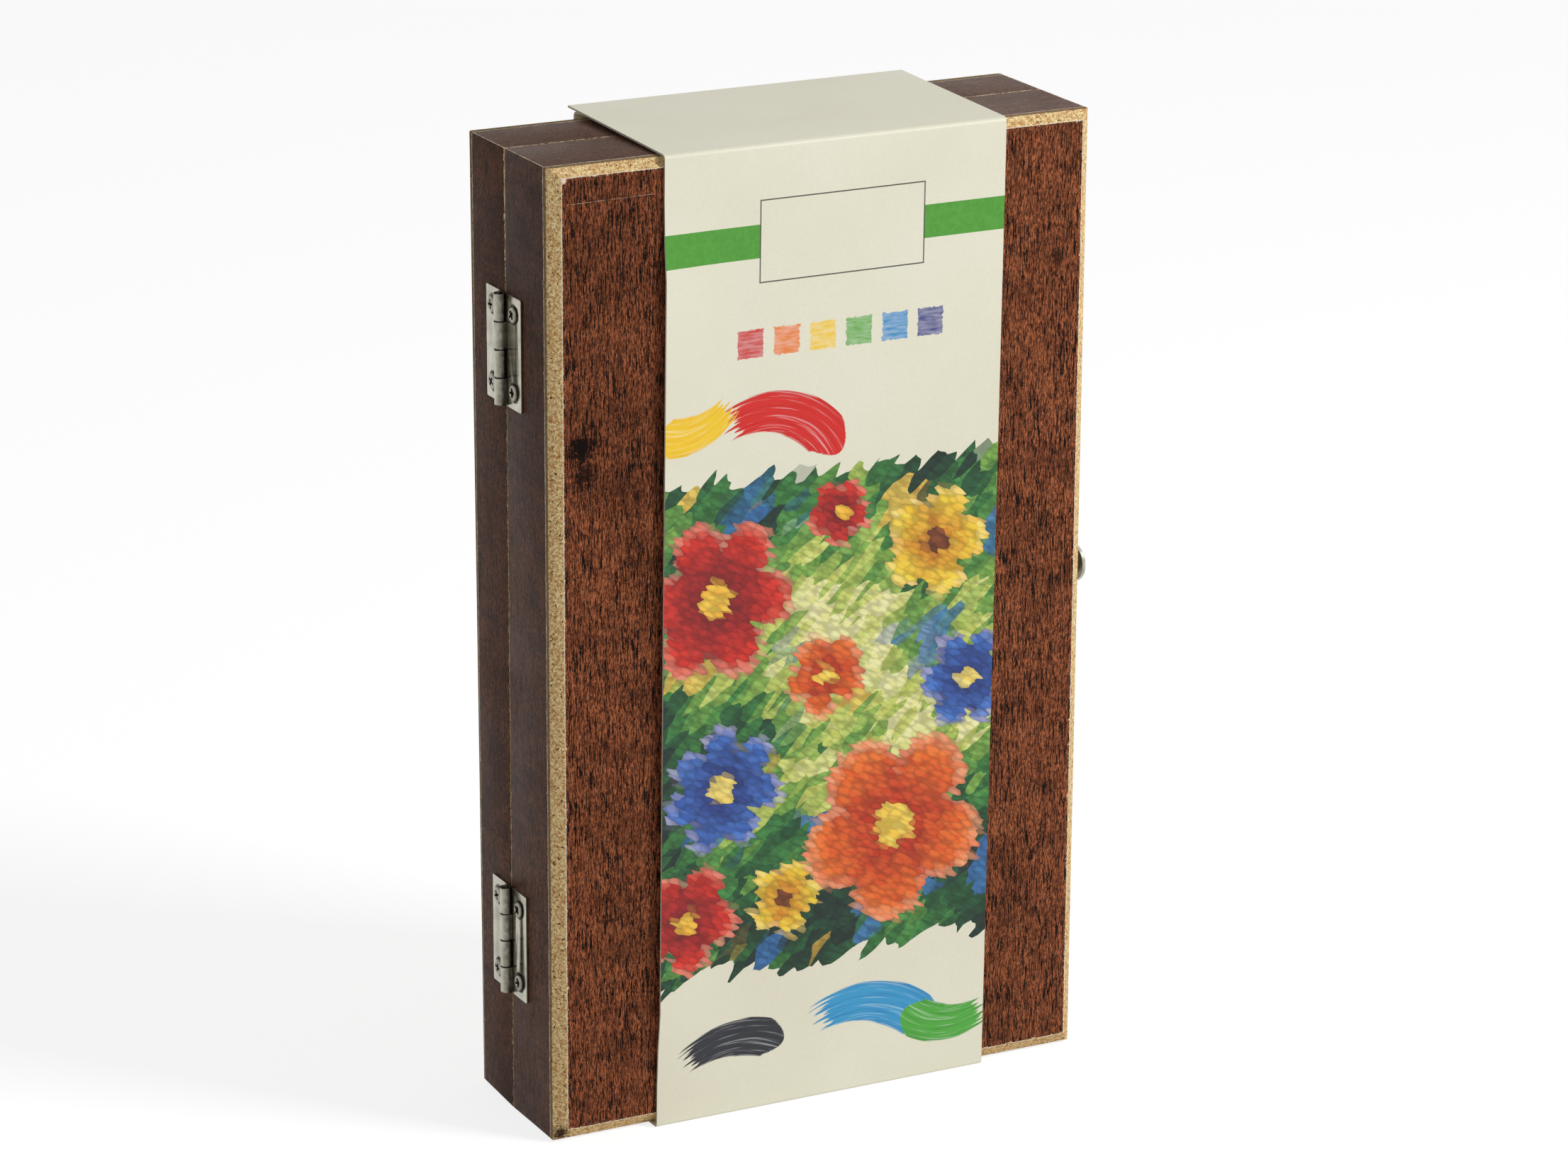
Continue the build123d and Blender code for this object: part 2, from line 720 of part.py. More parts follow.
def brush_handle(x, y, z_top, radius, length, grip_radius):
    """A slim handle that swells towards the ferrule and has a grip that goes into it."""
    neck = -length + ferrule_grip
    outline = Polyline(
        (0, 0),
        (handle_butt_radius, 0),
        (handle_thin_radius, -handle_butt_length),
        (handle_thin_radius, -handle_thin_length),
        (radius, neck + handle_swell_length),
        (radius, neck + handle_taper_length),
        (radius - ferrule_wall, neck),
        (grip_radius, neck),
        (grip_radius, -length),
        (0, -length),
        close=True,
    )
    return turned(x, y, z_top, outline)


def brush_ferrule(x, y, z_top, radius):
    """A tube with a crimped groove near the handle."""
    inner = radius - ferrule_wall
    groove = radius - crimp_depth
    outline = Polyline(
        (radius, 0),
        (radius, -crimp_place),
        (groove, -crimp_place - crimp_depth),
        (radius, -crimp_place - 2 * crimp_depth),
        (radius, -ferrule_length),
        (inner, -ferrule_length),
        (inner, 0),
        close=True,
    )
    return turned(x, y, z_top, outline)


def brush_tuft(x, y, z_top, radius, tip_radius, hair):
    """Hair from its root inside the ferrule to its tip, fullest just past the ferrule."""
    length = hair_root_depth + hair
    bow = ThreePointArc(
        (radius - ferrule_wall - hair_gap, -hair_root_depth),
        (radius, -hair_root_depth - hair * 0.45),
        (tip_radius, -length),
    )
    rest = Polyline(bow @ 1, (0, -length), (0, 0), (radius - ferrule_wall - hair_gap, 0), bow @ 0)
    return turned(x, y, z_top, [bow, rest])


brush_kinds = {
    "round": {"x": brush_x[2], "radius": 3.0, "tip": 0.4, "hair": 14.0, "start": 1.0},
    "flat": {"x": brush_x[1], "radius": 2.9, "tip": 2.5, "hair": 15.0, "start": 0.0},
    "filbert": {"x": brush_x[0], "radius": 2.7, "tip": 1.5, "hair": 16.0, "start": 4.0},
}
for kind, size in brush_kinds.items():
    radius = size["radius"]
    top = tool_top - size["start"]
    bottom = tool_top - brush_length
    ferrule_bottom = bottom + size["hair"]
    ferrule_top = ferrule_bottom + ferrule_length
    handle_length = top - ferrule_top + ferrule_grip
    place = (size["x"], cup_floor - radius - rest_gap)
    grip_radius = radius - ferrule_wall - crimp_depth
    parts[f"brush_handle_{kind}"] = brush_handle(*place, top, radius, handle_length, grip_radius)
    parts[f"brush_ferrule_{kind}"] = brush_ferrule(*place, ferrule_top, radius)
    hair_top = ferrule_bottom + hair_root_depth
    parts[f"brush_tuft_{kind}"] = brush_tuft(*place, hair_top, radius, size["tip"], size["hair"])

for name, part in parts.items():
    export_step(part, f"parts/{name}.step")
print(len(parts), "sub-parts written")
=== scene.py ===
import bmesh
import bpy
import json
from functools import partial
from math import cos, pi, radians, sin, tan
from mathutils import Matrix, Vector

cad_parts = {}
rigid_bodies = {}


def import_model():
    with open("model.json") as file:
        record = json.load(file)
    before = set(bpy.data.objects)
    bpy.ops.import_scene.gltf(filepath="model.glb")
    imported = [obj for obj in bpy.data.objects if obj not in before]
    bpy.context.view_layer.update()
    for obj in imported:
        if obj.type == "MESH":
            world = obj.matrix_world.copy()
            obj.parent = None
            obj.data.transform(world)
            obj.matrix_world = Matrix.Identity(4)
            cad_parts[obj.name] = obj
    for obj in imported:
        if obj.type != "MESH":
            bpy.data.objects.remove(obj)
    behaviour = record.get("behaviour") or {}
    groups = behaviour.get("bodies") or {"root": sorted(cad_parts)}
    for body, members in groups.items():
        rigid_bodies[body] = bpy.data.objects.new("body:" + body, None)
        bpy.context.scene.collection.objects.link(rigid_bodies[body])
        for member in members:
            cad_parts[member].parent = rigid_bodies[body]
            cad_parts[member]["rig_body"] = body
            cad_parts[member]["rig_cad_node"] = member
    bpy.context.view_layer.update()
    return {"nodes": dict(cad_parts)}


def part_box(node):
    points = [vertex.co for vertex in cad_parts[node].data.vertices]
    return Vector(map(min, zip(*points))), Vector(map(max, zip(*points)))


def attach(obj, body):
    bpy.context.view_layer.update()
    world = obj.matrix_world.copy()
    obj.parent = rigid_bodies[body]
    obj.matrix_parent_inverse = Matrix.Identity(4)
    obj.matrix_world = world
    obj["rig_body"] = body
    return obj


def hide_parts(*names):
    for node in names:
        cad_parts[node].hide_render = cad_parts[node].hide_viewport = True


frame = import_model()

# The front half of the box, which is the base
# Four mitred boards and a face panel of MDF, glued and then covered with a paper that is
# printed like wood. The face panel's edges are left raw and sanded to a bevel.
mm = 0.001
tiny = 0.01 * mm
bevel_sides = 2.45 * mm
bevel_top = 1.9 * mm
bevel_bottom = 2.8 * mm
edge_softness = 0.15 * mm


def choose(*pieces):
    """Select these pieces alone, with the first one active."""
    bpy.ops.object.select_all(action="DESELECT")
    for piece in reversed(pieces):
        piece.select_set(True)
        bpy.context.view_layer.objects.active = piece


def settled(name, scale=(1, 1, 1)):
    """Name the primitive just added, and put its size and place into its mesh."""
    piece = bpy.context.object
    piece.name = piece.data.name = name
    piece.scale = scale
    bpy.ops.object.transform_apply(location=True, rotation=True, scale=True)
    return piece


def add_block(name, low, high):
    """A block between two corners."""
    low, high = Vector(low), Vector(high)
    choose()
    bpy.ops.mesh.primitive_cube_add(size=1, location=(low + high) / 2)
    return settled(name, high - low)


def edit(piece):
    """Open one piece in edit mode, with nothing of it selected."""
    choose(piece)
    bpy.ops.object.mode_set(mode="EDIT")
    bpy.ops.mesh.select_all(action="DESELECT")


def close_edit():
    bpy.ops.object.mode_set(mode="OBJECT")


def pick(kind, wanted):
    """In edit mode, select only the faces, edges or verts whose points all pass a test."""
    bpy.ops.mesh.select_mode(type={"faces": "FACE", "edges": "EDGE", "verts": "VERT"}[kind])
    bpy.ops.mesh.select_all(action="DESELECT")
    data = bpy.context.object.data
    mesh = bmesh.from_edit_mesh(data)
    for item in getattr(mesh, kind):
        points = [item.co] if kind == "verts" else [vert.co for vert in item.verts]
        if all(wanted(point) for point in points):
            item.select_set(True)
    bmesh.update_edit_mesh(data)


def push(x, y, z):
    """Extrude what is selected by a step."""
    bpy.ops.mesh.extrude_region_move(TRANSFORM_OT_translate={"value": (x, y, z)})


def apply_modifier(piece, kind, **settings):
    """Add a modifier with its settings and apply it."""
    bpy.context.view_layer.objects.active = piece
    modifier = piece.modifiers.new(kind.lower(), kind)
    for name, value in settings.items():
        setattr(modifier, name, value)
    bpy.ops.object.modifier_apply(modifier=modifier.name)


def smooth(piece, angle=35):
    choose(piece)
    bpy.ops.object.shade_smooth_by_angle(angle=radians(angle))


def soften(piece, width, segments=2, angle=30):
    """Round off the sharp edges, and shade smoothly across what is left."""
    limit = {"limit_method": "ANGLE", "angle_limit": radians(angle), "use_clamp_overlap": True}
    apply_modifier(piece, "BEVEL", width=width, segments=segments, **limit)
    smooth(piece)


def paint(piece, material, wanted):
    """Give a material to the faces that pass a test of their middle and their normal."""
    piece.data.materials.append(material)
    index = piece.data.materials.find(material.name)
    for face in piece.data.polygons:
        if wanted(face.center, face.normal):
            face.material_index = index


def on_body(piece, body, slot, *nodes):
    """Let a piece ride on a body and stand for CAD nodes. The slot is not used."""
    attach(piece, body)
    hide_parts(*nodes)


# Its finish is drawn with shader nodes, which go into whichever tree is open.
def srgb(red, green, blue):
    """A colour as a screen shows it, 0 to 255, as the shader's own linear colour."""
    parts = [value / 255 for value in (red, green, blue)]
    return (*(p / 12.92 if p <= 0.04045 else ((p + 0.055) / 1.055) ** 2.4 for p in parts), 1.0)


def work_on(tree):
    """Open the node tree that the next nodes go into."""
    global open_tree
    open_tree = tree


def give(socket, value):
    """Link a socket to another one, or set its value."""
    if isinstance(value, bpy.types.NodeSocket):
        open_tree.links.new(value, socket)
    else:
        socket.default_value = value


def node(kind, inputs=None, **settings):
    """Add a shader node with its settings and inputs, and hand back its outputs."""
    made = open_tree.nodes.new("ShaderNode" + kind)
    for name, value in settings.items():
        setattr(made, name, value)
    for name, value in (inputs or {}).items():
        give(made.inputs[name], value)
    return made.outputs


def maths(operation, *values):
    return node("Math", dict(enumerate(values)), operation=operation)[0]


add, subtract, multiply, divide = (
    partial(maths, kind) for kind in ("ADD", "SUBTRACT", "MULTIPLY", "DIVIDE")
)
minimum, maximum, absolute, multiply_add = (
    partial(maths, kind) for kind in ("MINIMUM", "MAXIMUM", "ABSOLUTE", "MULTIPLY_ADD")
)
less_than, compare = (partial(maths, kind) for kind in ("LESS_THAN", "COMPARE"))


def vector_maths(operation, *values):
    return node("VectorMath", dict(enumerate(values)), operation=operation)


def separate(vector):
    return node("SeparateXYZ", {0: vector})


def remap(value, low, high, to_low=0.0, to_high=1.0):
    """A value spread from one span to another, and held at its ends."""
    return node("MapRange", dict(enumerate((value, low, high, to_low, to_high))))[0]


def mixed(factor, first, second, blend="MIX"):
    """Two colours mixed by a factor."""
    return node("Mix", {0: factor, 6: first, 7: second}, data_type="RGBA", blend_type=blend)[2]


def noise(vector, scale, detail=2.0, roughness=0.5, stretch=None):
    """Noise about a middle of 0.5. A stretch below 1 draws it out along that axis."""
    if stretch:
        vector = vector_maths("MULTIPLY", vector, stretch)[0]
    inputs = {"Vector": vector, "Scale": scale, "Detail": detail, "Roughness": roughness}
    return node("TexNoise", inputs)["Fac"]


def bump(height, strength, distance):
    return node("Bump", {"Height": height, "Strength": strength, "Distance": distance})["Normal"]


def here():
    """The place on the object, in its own coordinates."""
    return node("TexCoord")["Object"]


def shader_group(name, **inputs):
    """Make a group of a function. It takes the inputs in order, and returns the outputs."""

    def build(draw):
        tree = bpy.data.node_groups.new(name, "ShaderNodeTree")
        work_on(tree)
        for label, default in inputs.items():
            size = len(default) if isinstance(default, tuple) else 1
            kind = "NodeSocket" + {1: "Float", 3: "Vector", 4: "Color"}[size]
            socket = tree.interface.new_socket(label, in_out="INPUT", socket_type=kind)
            socket.default_value = default
        given = tree.nodes.new("NodeGroupInput").outputs
        result = tree.nodes.new("NodeGroupOutput").inputs
        for label, value in draw(*(given[label] for label in inputs)).items():
            kind = {"VALUE": "Float", "VECTOR": "Vector", "RGBA": "Color"}[value.type]
            tree.interface.new_socket(label, in_out="OUTPUT", socket_type="NodeSocket" + kind)
            give(result[label], value)

        def use(*values, **named):
            """Place the group with its values, for its outputs or its only one."""
            outputs = node("Group", {**dict(zip(inputs, values)), **named}, node_tree=tree)
            return outputs if len(outputs) > 1 else outputs[0]

        return use

    return build


def feed(**inputs):
    """Fill inputs of the open material's shader, by their names in small letters."""
    shader = open_tree.nodes["Principled BSDF"]
    for label, value in inputs.items():
        give(shader.inputs[label.replace("_", " ").title().replace("Ior", "IOR")], value)


def new_material(name, **constants):
    """A material with these constants on its shader, left open for its nodes."""
    material = bpy.data.materials.new(name)
    material.use_nodes = True
    work_on(material.node_tree)
    feed(**constants)
    return material


origin = (0.0, 0.0, 0.0)
black = (0.0, 0.0, 0.0, 1.0)
wood_tones = {"light": black, "deep": black, "dark": black, "fleck": black}
wood_amounts = {"dashes": 1.0, "figure": 1.0, "clouds": 1.0, "dark_share": 0.0}


@shader_group("wood paper", vector=origin, **wood_tones, **wood_amounts)
def wood_paper(vector, light, deep, dark, fleck, dashes, figure, clouds, dark_share):
    """The paper's print: short dark dashes and soft streaks along Z, with darker figure
    across it, clouds and small light flecks."""
    streak = noise(vector, 1500, 3, 0.6, (1, 1, 0.07))
    fine = noise(vector, 4300, 3, 0.7, (1, 1, 0.24))
    dash_field = noise(vector, 3700, 2, 0.6, (1, 1, 0.1))
    long_field = noise(vector, 2300, 2, 0.5, (1, 1, 0.07))
    clump = noise(vector, 240, 3, 0.6, (1, 1, 0.5))
    across = noise(vector, 130, 4, 0.65, (0.3, 0.3, 1))
    ripple = noise(vector, 520, 3, 0.6, (0.22, 0.22, 1))
    cloud = noise(vector, 38, 3)
    fleck_field = noise(vector, 5200, 1, stretch=(1, 1, 0.6))
    speckled = mixed(remap(fine, 0.38, 0.58), light, deep)
    body = mixed(remap(streak, 0.46, 0.68, 0.0, 0.6), speckled, deep)
    waved = multiply_add(remap(ripple, 0.35, 0.65), 0.16, across)
    figure_share = multiply(remap(waved, 0.58, 0.74, 0.0, 0.6), figure)
    figured = mixed(figure_share, body, mixed(0.4, deep, dark))
    cloud_share = multiply(remap(cloud, 0.56, 0.78, 0.0, 0.45), clouds)
    clouded = mixed(cloud_share, figured, mixed(0.5, deep, dark))
    threshold = remap(clump, 0.34, 0.64, 0.585, 0.53)
    short = remap(subtract(dash_field, threshold), 0.0, 0.05)
    long = remap(multiply_add(clump, 0.2, long_field), 0.69, 0.75)
    dash = multiply(maximum(short, long), dashes)
    flecked = mixed(
        remap(fleck_field, 0.64, 0.74, 0.0, 0.7), mixed(dash, clouded, dark), fleck
    )
    return {
        "color": mixed(dark_share, flecked, dark),
        "height": subtract(fine, dash),
        "shine": remap(cloud, 0.3, 0.7),
    }


bevel_tones = (srgb(255, 236, 178), srgb(182, 125, 67))
pore_brown = srgb(96, 56, 26)


@shader_group("raw board", vector=origin, light=black, deep=black)
def raw_board(vector, light, deep):
    """Bare MDF is pressed tan fibre with darker specks, small pores and a fine nap."""
    mottle = remap(noise(vector, 1500, 4, 0.85), 0.42, 0.6)
    nap = noise(vector, 3600, 2, 0.6)
    pore = remap(noise(vector, 1300, 2, 0.6), 0.62, 0.68)
    speck = remap(noise(vector, 4600, 2, 0.7), 0.5, 0.64, 0.0, 0.8)
    fibre = mixed(speck, mixed(mottle, light, deep), deep)
    return {"color": mixed(pore, fibre, pore_brown), "height": subtract(nap, pore)}


@shader_group("torn edge", vector=origin, distance=1.0, ragged=0.5 * mm, fringe=0.3 * mm)
def torn_edge(vector, distance, ragged, fringe):
    """Where the paper ends its edge is torn: first the white core shows, then it is gone."""
    coarse = subtract(noise(vector, 420, 3, 0.7), 0.5)
    crumb = subtract(noise(vector, 2600, 2), 0.5)
    wander = multiply_add(crumb, 0.9, multiply(coarse, 1.6))
    bite = remap(noise(vector, 480, 4, 0.8), 0.57, 0.68, 0.0, 1.1)
    edge_at = multiply_add(subtract(wander, bite), ragged, distance)
    inside = subtract(edge_at, multiply(fringe, remap(coarse, -0.25, 0.2, 0.0, 1.6)))
    return {
        "gone": remap(edge_at, 0.06 * mm, -0.06 * mm),
        "core": remap(inside, 0.05 * mm, -0.05 * mm),
    }


@shader_group(
    "within rectangle", across=0.0, up=0.0, left=-1.0, right=1.0, bottom=-1.0, top=1.0
)
def within_rectangle(across, up, left, right, bottom, top):
    """Distance to the nearest side of an upright rectangle, counted inwards."""
    sideways = minimum(subtract(across, left), subtract(right, across))
    upwards = minimum(subtract(up, bottom), subtract(top, up))
    return {"distance": minimum(sideways, upwards)}


@shader_group("dark spot", vector=origin, centre=origin, radius=2 * mm, break_up=1.0)
def dark_spot(vector, centre, radius, break_up):
    """A soft spot round a point, broken up by noise, for knots, bruises and broad darker patches
    in the print.
    """
    away = vector_maths("LENGTH", vector_maths("SUBTRACT", vector, centre)[0])["Value"]
    rough = subtract(noise(vector, 1100, 3, 0.7), 0.5)
    swing = multiply(rough, multiply(radius, 2.2))
    shaken = multiply_add(swing, break_up, away)
    return {"mask": remap(divide(shaken, radius), 1.05, 0.45)}


half_low, half_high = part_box("base_panel")
lid_low, lid_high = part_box("lid_panel")
print_edges = (
    half_low.x + bevel_sides,
    half_high.x - bevel_sides,
    half_low.z + bevel_bottom,
    half_high.z - bevel_top,
)
white_core = srgb(232, 218, 196)
seam_brown = srgb(26, 15, 10)
seam_core = srgb(206, 176, 138)
seam_worn = srgb(224, 202, 168)
seam_edge = 0.28 * mm
seam_fringe = (0.34 * mm, 0.16 * mm)
rub_scatter = 260 * mm
rub_start = 326 * mm
rub_full = 341 * mm


def folded_seam(at, colour):
    """At the seam the paper's folded edge is dark with white chips, and rubbed near the top."""
    spot = separate(at)
    from_seam = subtract(absolute(spot["Y"]), seam_edge)
    seam = torn_edge(at, from_seam, *seam_fringe)
    dotted = remap(noise(at, 800, 2, 0.6), 0.54, 0.62)
    chipped = mixed(multiply(seam["core"], dotted), colour, seam_core)
    height = multiply_add(noise(at, 1000, 3, 0.7), rub_scatter, spot["Z"])
    rubbed = mixed(remap(height, rub_start, rub_full), seam_brown, seam_worn)
    return mixed(seam["gone"], chipped, rubbed)


scratch_start = Vector((-62.0 * mm, 0, 212.65 * mm))
scratch_end = Vector((-41.2 * mm, 0, 212.96 * mm))
scratch_colour = srgb(186, 158, 140)
scratch_half_width = 0.07 * mm
chip_place = (-62.7 * mm, half_low.y, 218.0 * mm)


def face_marks(at, colour):
    """A hairline scratch near the top of the front half, and a chip at its corner."""
    spot = separate(at)
    rise = (scratch_end.z - scratch_start.z) / (scratch_end.x - scratch_start.x)
    line = multiply_add(spot["X"], rise, scratch_start.z - scratch_start.x * rise)
    on_line = compare(spot["Z"], line, scratch_half_width)
    middle = (scratch_start.x + scratch_end.x) / 2
    in_reach = compare(spot["X"], middle, (scratch_end.x - scratch_start.x) / 2)
    in_front = less_than(spot["Y"], 0.0)
    broken = remap(noise(at, 900, 2), 0.4, 0.55, 0.2, 0.8)
    reach = multiply(multiply(on_line, in_reach), in_front)
    scratched = mixed(multiply(reach, broken), colour, scratch_colour)
    chip = dark_spot(at, chip_place, 0.9 * mm, 0.3)
    return mixed(remap(chip, 0.1, 0.5), scratched, white_core)


def face_distance(at):
    """From a place on the outer face to the nearest edge of its print."""
    return within_rectangle(at["X"], at["Z"], *print_edges)


def side_distance(at):
    """From a place on a side to the nearer of the two joints of frame and panel."""
    return minimum(subtract(at["Y"], half_high.y), subtract(lid_low.y, at["Y"]))


def end_distance(at):
    """The ends also wear along their left and right edges."""
    corner = subtract(half_high.x - 0.1 * mm, absolute(at["X"]))
    return minimum(side_distance(at), corner)


def rim_distance(at):
    """The rim's print wears only on its outer corners."""
    return subtract(half_high.x - 0.3 * mm, absolute(at["X"]))


def paper_material(
    name, tones, raw_tones, distance_of, fringe, turn=origin, knots=(), marks=None, **amounts
):
    """Wood paper with a torn edge that shows the board. The turn lays the grain."""
    material = new_material(name, specular_ior_level=0.05)
    at = here()
    laid = node("Mapping", {"Vector": at, "Rotation": turn})[0]
    spots = 0.0
    for centre, radius, depth in knots:
        spots = maximum(spots, multiply(dark_spot(at, centre, radius), depth))
    wood = wood_paper(laid, *tones, dark_share=spots, **amounts)
    board = raw_board(at, *raw_tones)
    edge = torn_edge(at, distance_of(separate(at)), *fringe)
    marked = marks(at, wood["color"]) if marks else wood["color"]
    cored = mixed(edge["core"], marked, white_core)
    sheen = remap(wood["shine"], 0.0, 1.0, 0.36, 0.5)
    worn = maximum(edge["core"], edge["gone"])
    relief = add(wood["height"], multiply(worn, -1.5))
    feed(
        base_color=mixed(edge["gone"], cored, board["color"]),
        roughness=remap(worn, 0.0, 1.0, sheen, 0.85),
        normal=bump(relief, 0.5, 0.08 * mm),
    )
    return material


# Each paper has four tones: light, deep, the dark dashes and the light flecks.
front_tones = (srgb(184, 108, 70), srgb(74, 38, 25), srgb(18, 9, 7), srgb(206, 134, 86))
# The side tones are darker than the front's; in part this is painted shade.
side_tones = (srgb(128, 84, 60), srgb(58, 33, 24), srgb(24, 14, 10), srgb(160, 118, 92))
top_tones = (srgb(122, 88, 68), srgb(72, 48, 38), srgb(32, 20, 15), srgb(164, 132, 108))
rim_tones = (srgb(152, 96, 58), srgb(116, 68, 40), srgb(70, 40, 26), srgb(184, 126, 80))
joint_tones = (srgb(158, 136, 104), srgb(118, 96, 70))
dark_spots_on_front = [
    ((x * mm, half_low.y, z * mm), radius * mm, depth)
    for x, z, radius, depth in [
        (-58.7, 159.3, 4.1, 1.0),
        (-57.7, 153.4, 3.3, 0.9),
        (57.0, 188.0, 2.2, 0.7),
        # The last two are broad soft spots that make the upper left of the front darker.
        (-52.0, 202.0, 24.0, 0.22),
        (-49.0, 162.0, 20.0, 0.22),
    ]
]
clouds_on_side = [
    ((half_low.x, y * mm, z * mm), radius * mm, depth)
    for y, z, radius, depth in [
        (-12.7, 124, 4.0, 0.35),
        (9, 84, 5.0, 0.35),
        (17, 1.6, 2.6, 0.8),
        # The last two are broad soft spots that make the upper part of the side darker.
        (-14, 196, 26, 0.35),
        (-12, 160, 20, 0.25),
    ]
]
face_fringe = (0.5 * mm, 0.22 * mm)
side_fringe = (0.35 * mm, 0.22 * mm)
rim_fringe = (0.2 * mm, 0.2 * mm)
on_front = {"knots": dark_spots_on_front, "marks": face_marks, "figure": 0.65}
on_side = {"knots": clouds_on_side, "marks": folded_seam, "dashes": 0.85, "figure": 0.9}
on_end = {"marks": folded_seam, "dashes": 0.5, "figure": 0.3, "clouds": 0.5}
lying = (0.0, radians(90), 0.0)
face_paper = paper_material(
    "printed face", front_tones, bevel_tones, face_distance, face_fringe, **on_front
)
side_paper = paper_material(
    "printed side", side_tones, joint_tones, side_distance, side_fringe, **on_side
)
end_paper = paper_material(
    "printed end", top_tones, joint_tones, end_distance, side_fringe, lying, **on_end
)
rim_paper = paper_material(
    "printed rim", rim_tones, bevel_tones, rim_distance, rim_fringe, dashes=0.6
)
bare_bevel = new_material("bare bevel", roughness=0.88, specular_ior_level=0.2)
knocked = (half_low.x + 1.2 * mm, half_low.y + 1 * mm, half_low.z + 1.4 * mm)
at = here()
board = raw_board(at, *bevel_tones)
bruise = dark_spot(at, knocked, 2.4 * mm)
feed(
    base_color=mixed(bruise, board["color"], srgb(66, 40, 24)),
    normal=bump(board["height"], 0.6, 0.12 * mm),
)


def half_box(name, half, side):
    """A bevelled block, hollowed from the seam. Side is -1 for the base and 1 for the lid."""
    near, far = (0, 1) if side < 0 else (1, 0)
    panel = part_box(f"{half}_panel")
    outer = panel[near].y
    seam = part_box(f"{half}_board_left")[far].y
    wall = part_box(f"{half}_backing_card")[0].x - panel[0].x
    low = Vector((panel[0].x, min(outer, seam), panel[0].z))
    high = Vector((panel[1].x, max(outer, seam), panel[1].z))
    piece = add_block(name, low, high)
    edit(piece)
    x, z = 0, 2
    legs = [
        (x, low.x, bevel_sides),
        (x, high.x, bevel_sides),
        (z, high.z, bevel_top),
        (z, low.z, bevel_bottom),
    ]
    for axis, place, leg in legs:
        pick("edges", lambda co: abs(co.y - outer) < tiny and abs(co[axis] - place) < tiny)
        bpy.ops.mesh.bevel(offset_type="OFFSET", offset=leg, segments=1, affect="EDGES")
    pick("faces", lambda co: abs(co.y - seam) < tiny)
    bpy.ops.mesh.inset(thickness=wall, use_even_offset=True)
    push(0, panel[far].y - seam, 0)
    close_edit()
    paint(piece, rim_paper, lambda at, normal: True)
    paint(piece, bare_bevel, lambda at, normal: 0.3 < side * normal.y < 0.95)
    paint(piece, face_paper, lambda at, normal: abs(at.y - outer) < tiny)
    paint(piece, side_paper, lambda at, normal: min(at.x - low.x, high.x - at.x) < tiny)
    paint(piece, end_paper, lambda at, normal: min(at.z - low.z, high.z - at.z) < tiny)
    soften(piece, edge_softness)
    boards = [f"{half}_board_{place}" for place in ("left", "right", "top", "bottom")]
    on_body(piece, half, "printed_board", f"{half}_panel", *boards)
    return piece


half_box("front_half", "base", -1)

# The rear half of the box, which is the lid
# It is made like the front half but shallower. Its lower rear corner on the hinge side
# took a knock: the board is crushed and its paper has gone dark.
knock_reach = 4.5 * mm
knock_depth = (0.5 * mm, -0.9 * mm, 0.6 * mm)
knocked_corner = Vector((half_low.x, lid_high.y, half_low.z))
edit(half_box("rear_half", "lid", 1))
pick("verts", lambda co: (co - knocked_corner).length < knock_reach)
bpy.ops.transform.translate(value=knock_depth)
close_edit()

# Backing cards
# A thin card with a darker wood print lies on the floor of each half, under its tray.
# The frame's own cards are kept, and only their finish is new.
backing_tones = (srgb(120, 82, 58), srgb(92, 60, 42), srgb(58, 38, 28), srgb(146, 106, 76))
backing = new_material("backing card", roughness=0.55)
wood = wood_paper(here(), *backing_tones, dashes=0.6)
feed(base_color=wood["color"], normal=bump(wood["height"], 0.3, 0.05 * mm))
for name in ("base_backing_card", "lid_backing_card"):
    card_materials = frame["nodes"][name].data.materials
    card_materials.clear()
    card_materials.append(backing)

# Butt hinges
# Nickel plated steel leaves with rolled knuckles on a steel pin, two on the left side,
# each held by two screws to the base and two to the lid.
leaf_softness = 0.12 * mm
nickel_colour = srgb(190, 186, 171)
nickel_stain = srgb(116, 110, 96)
# The near black of the painted shade on the hinges.
painted_shade_colour = srgb(36, 31, 26)


@shader_group("handled metal", vector=origin, clean=0.16, dull=0.38, tint=black, stain=black)
def handled_metal(vector, clean, dull, tint, stain):
    """Handled metal has soft smudges, hairline scratches and faint rolling marks."""
    smudge = remap(noise(vector, 260, 3, 0.6), 0.4, 0.7)
    rolled = noise(vector, 3800, 2, stretch=(1, 1, 0.05))
    scratch = remap(noise(vector, 5200, 1, stretch=(1, 0.12, 0.5)), 0.66, 0.72)
    duller = multiply_add(smudge, subtract(dull, clean), clean)
    return {
        "color": mixed(remap(smudge, 0.0, 1.0, 0.0, 0.45), tint, stain),
        "roughness": multiply_add(rolled, 0.08, duller),
        "height": multiply_add(scratch, -0.6, rolled),
    }


lower_leaf_low, lower_leaf_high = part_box("lower_hinge_base_leaf")
upper_leaf_low, upper_leaf_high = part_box("upper_hinge_base_leaf")
hinge_half_length = (lower_leaf_high.z - lower_leaf_low.z) / 2
between_hinges = (lower_leaf_low.z + upper_leaf_high.z) / 2
hinge_away = (upper_leaf_low.z + upper_leaf_high.z) / 2 - between_hinges
knuckle_pitch = hinge_half_length / 2
leaf_root = 1.75 * mm
barrel_reach = 1.5 * mm
screw_from_pin = 5.3 * mm
screw_from_middle = 8.6 * mm
screw_rim = 2.05 * mm


def combined(x, y, z):
    return node("CombineXYZ", {0: x, 1: y, 2: z})[0]


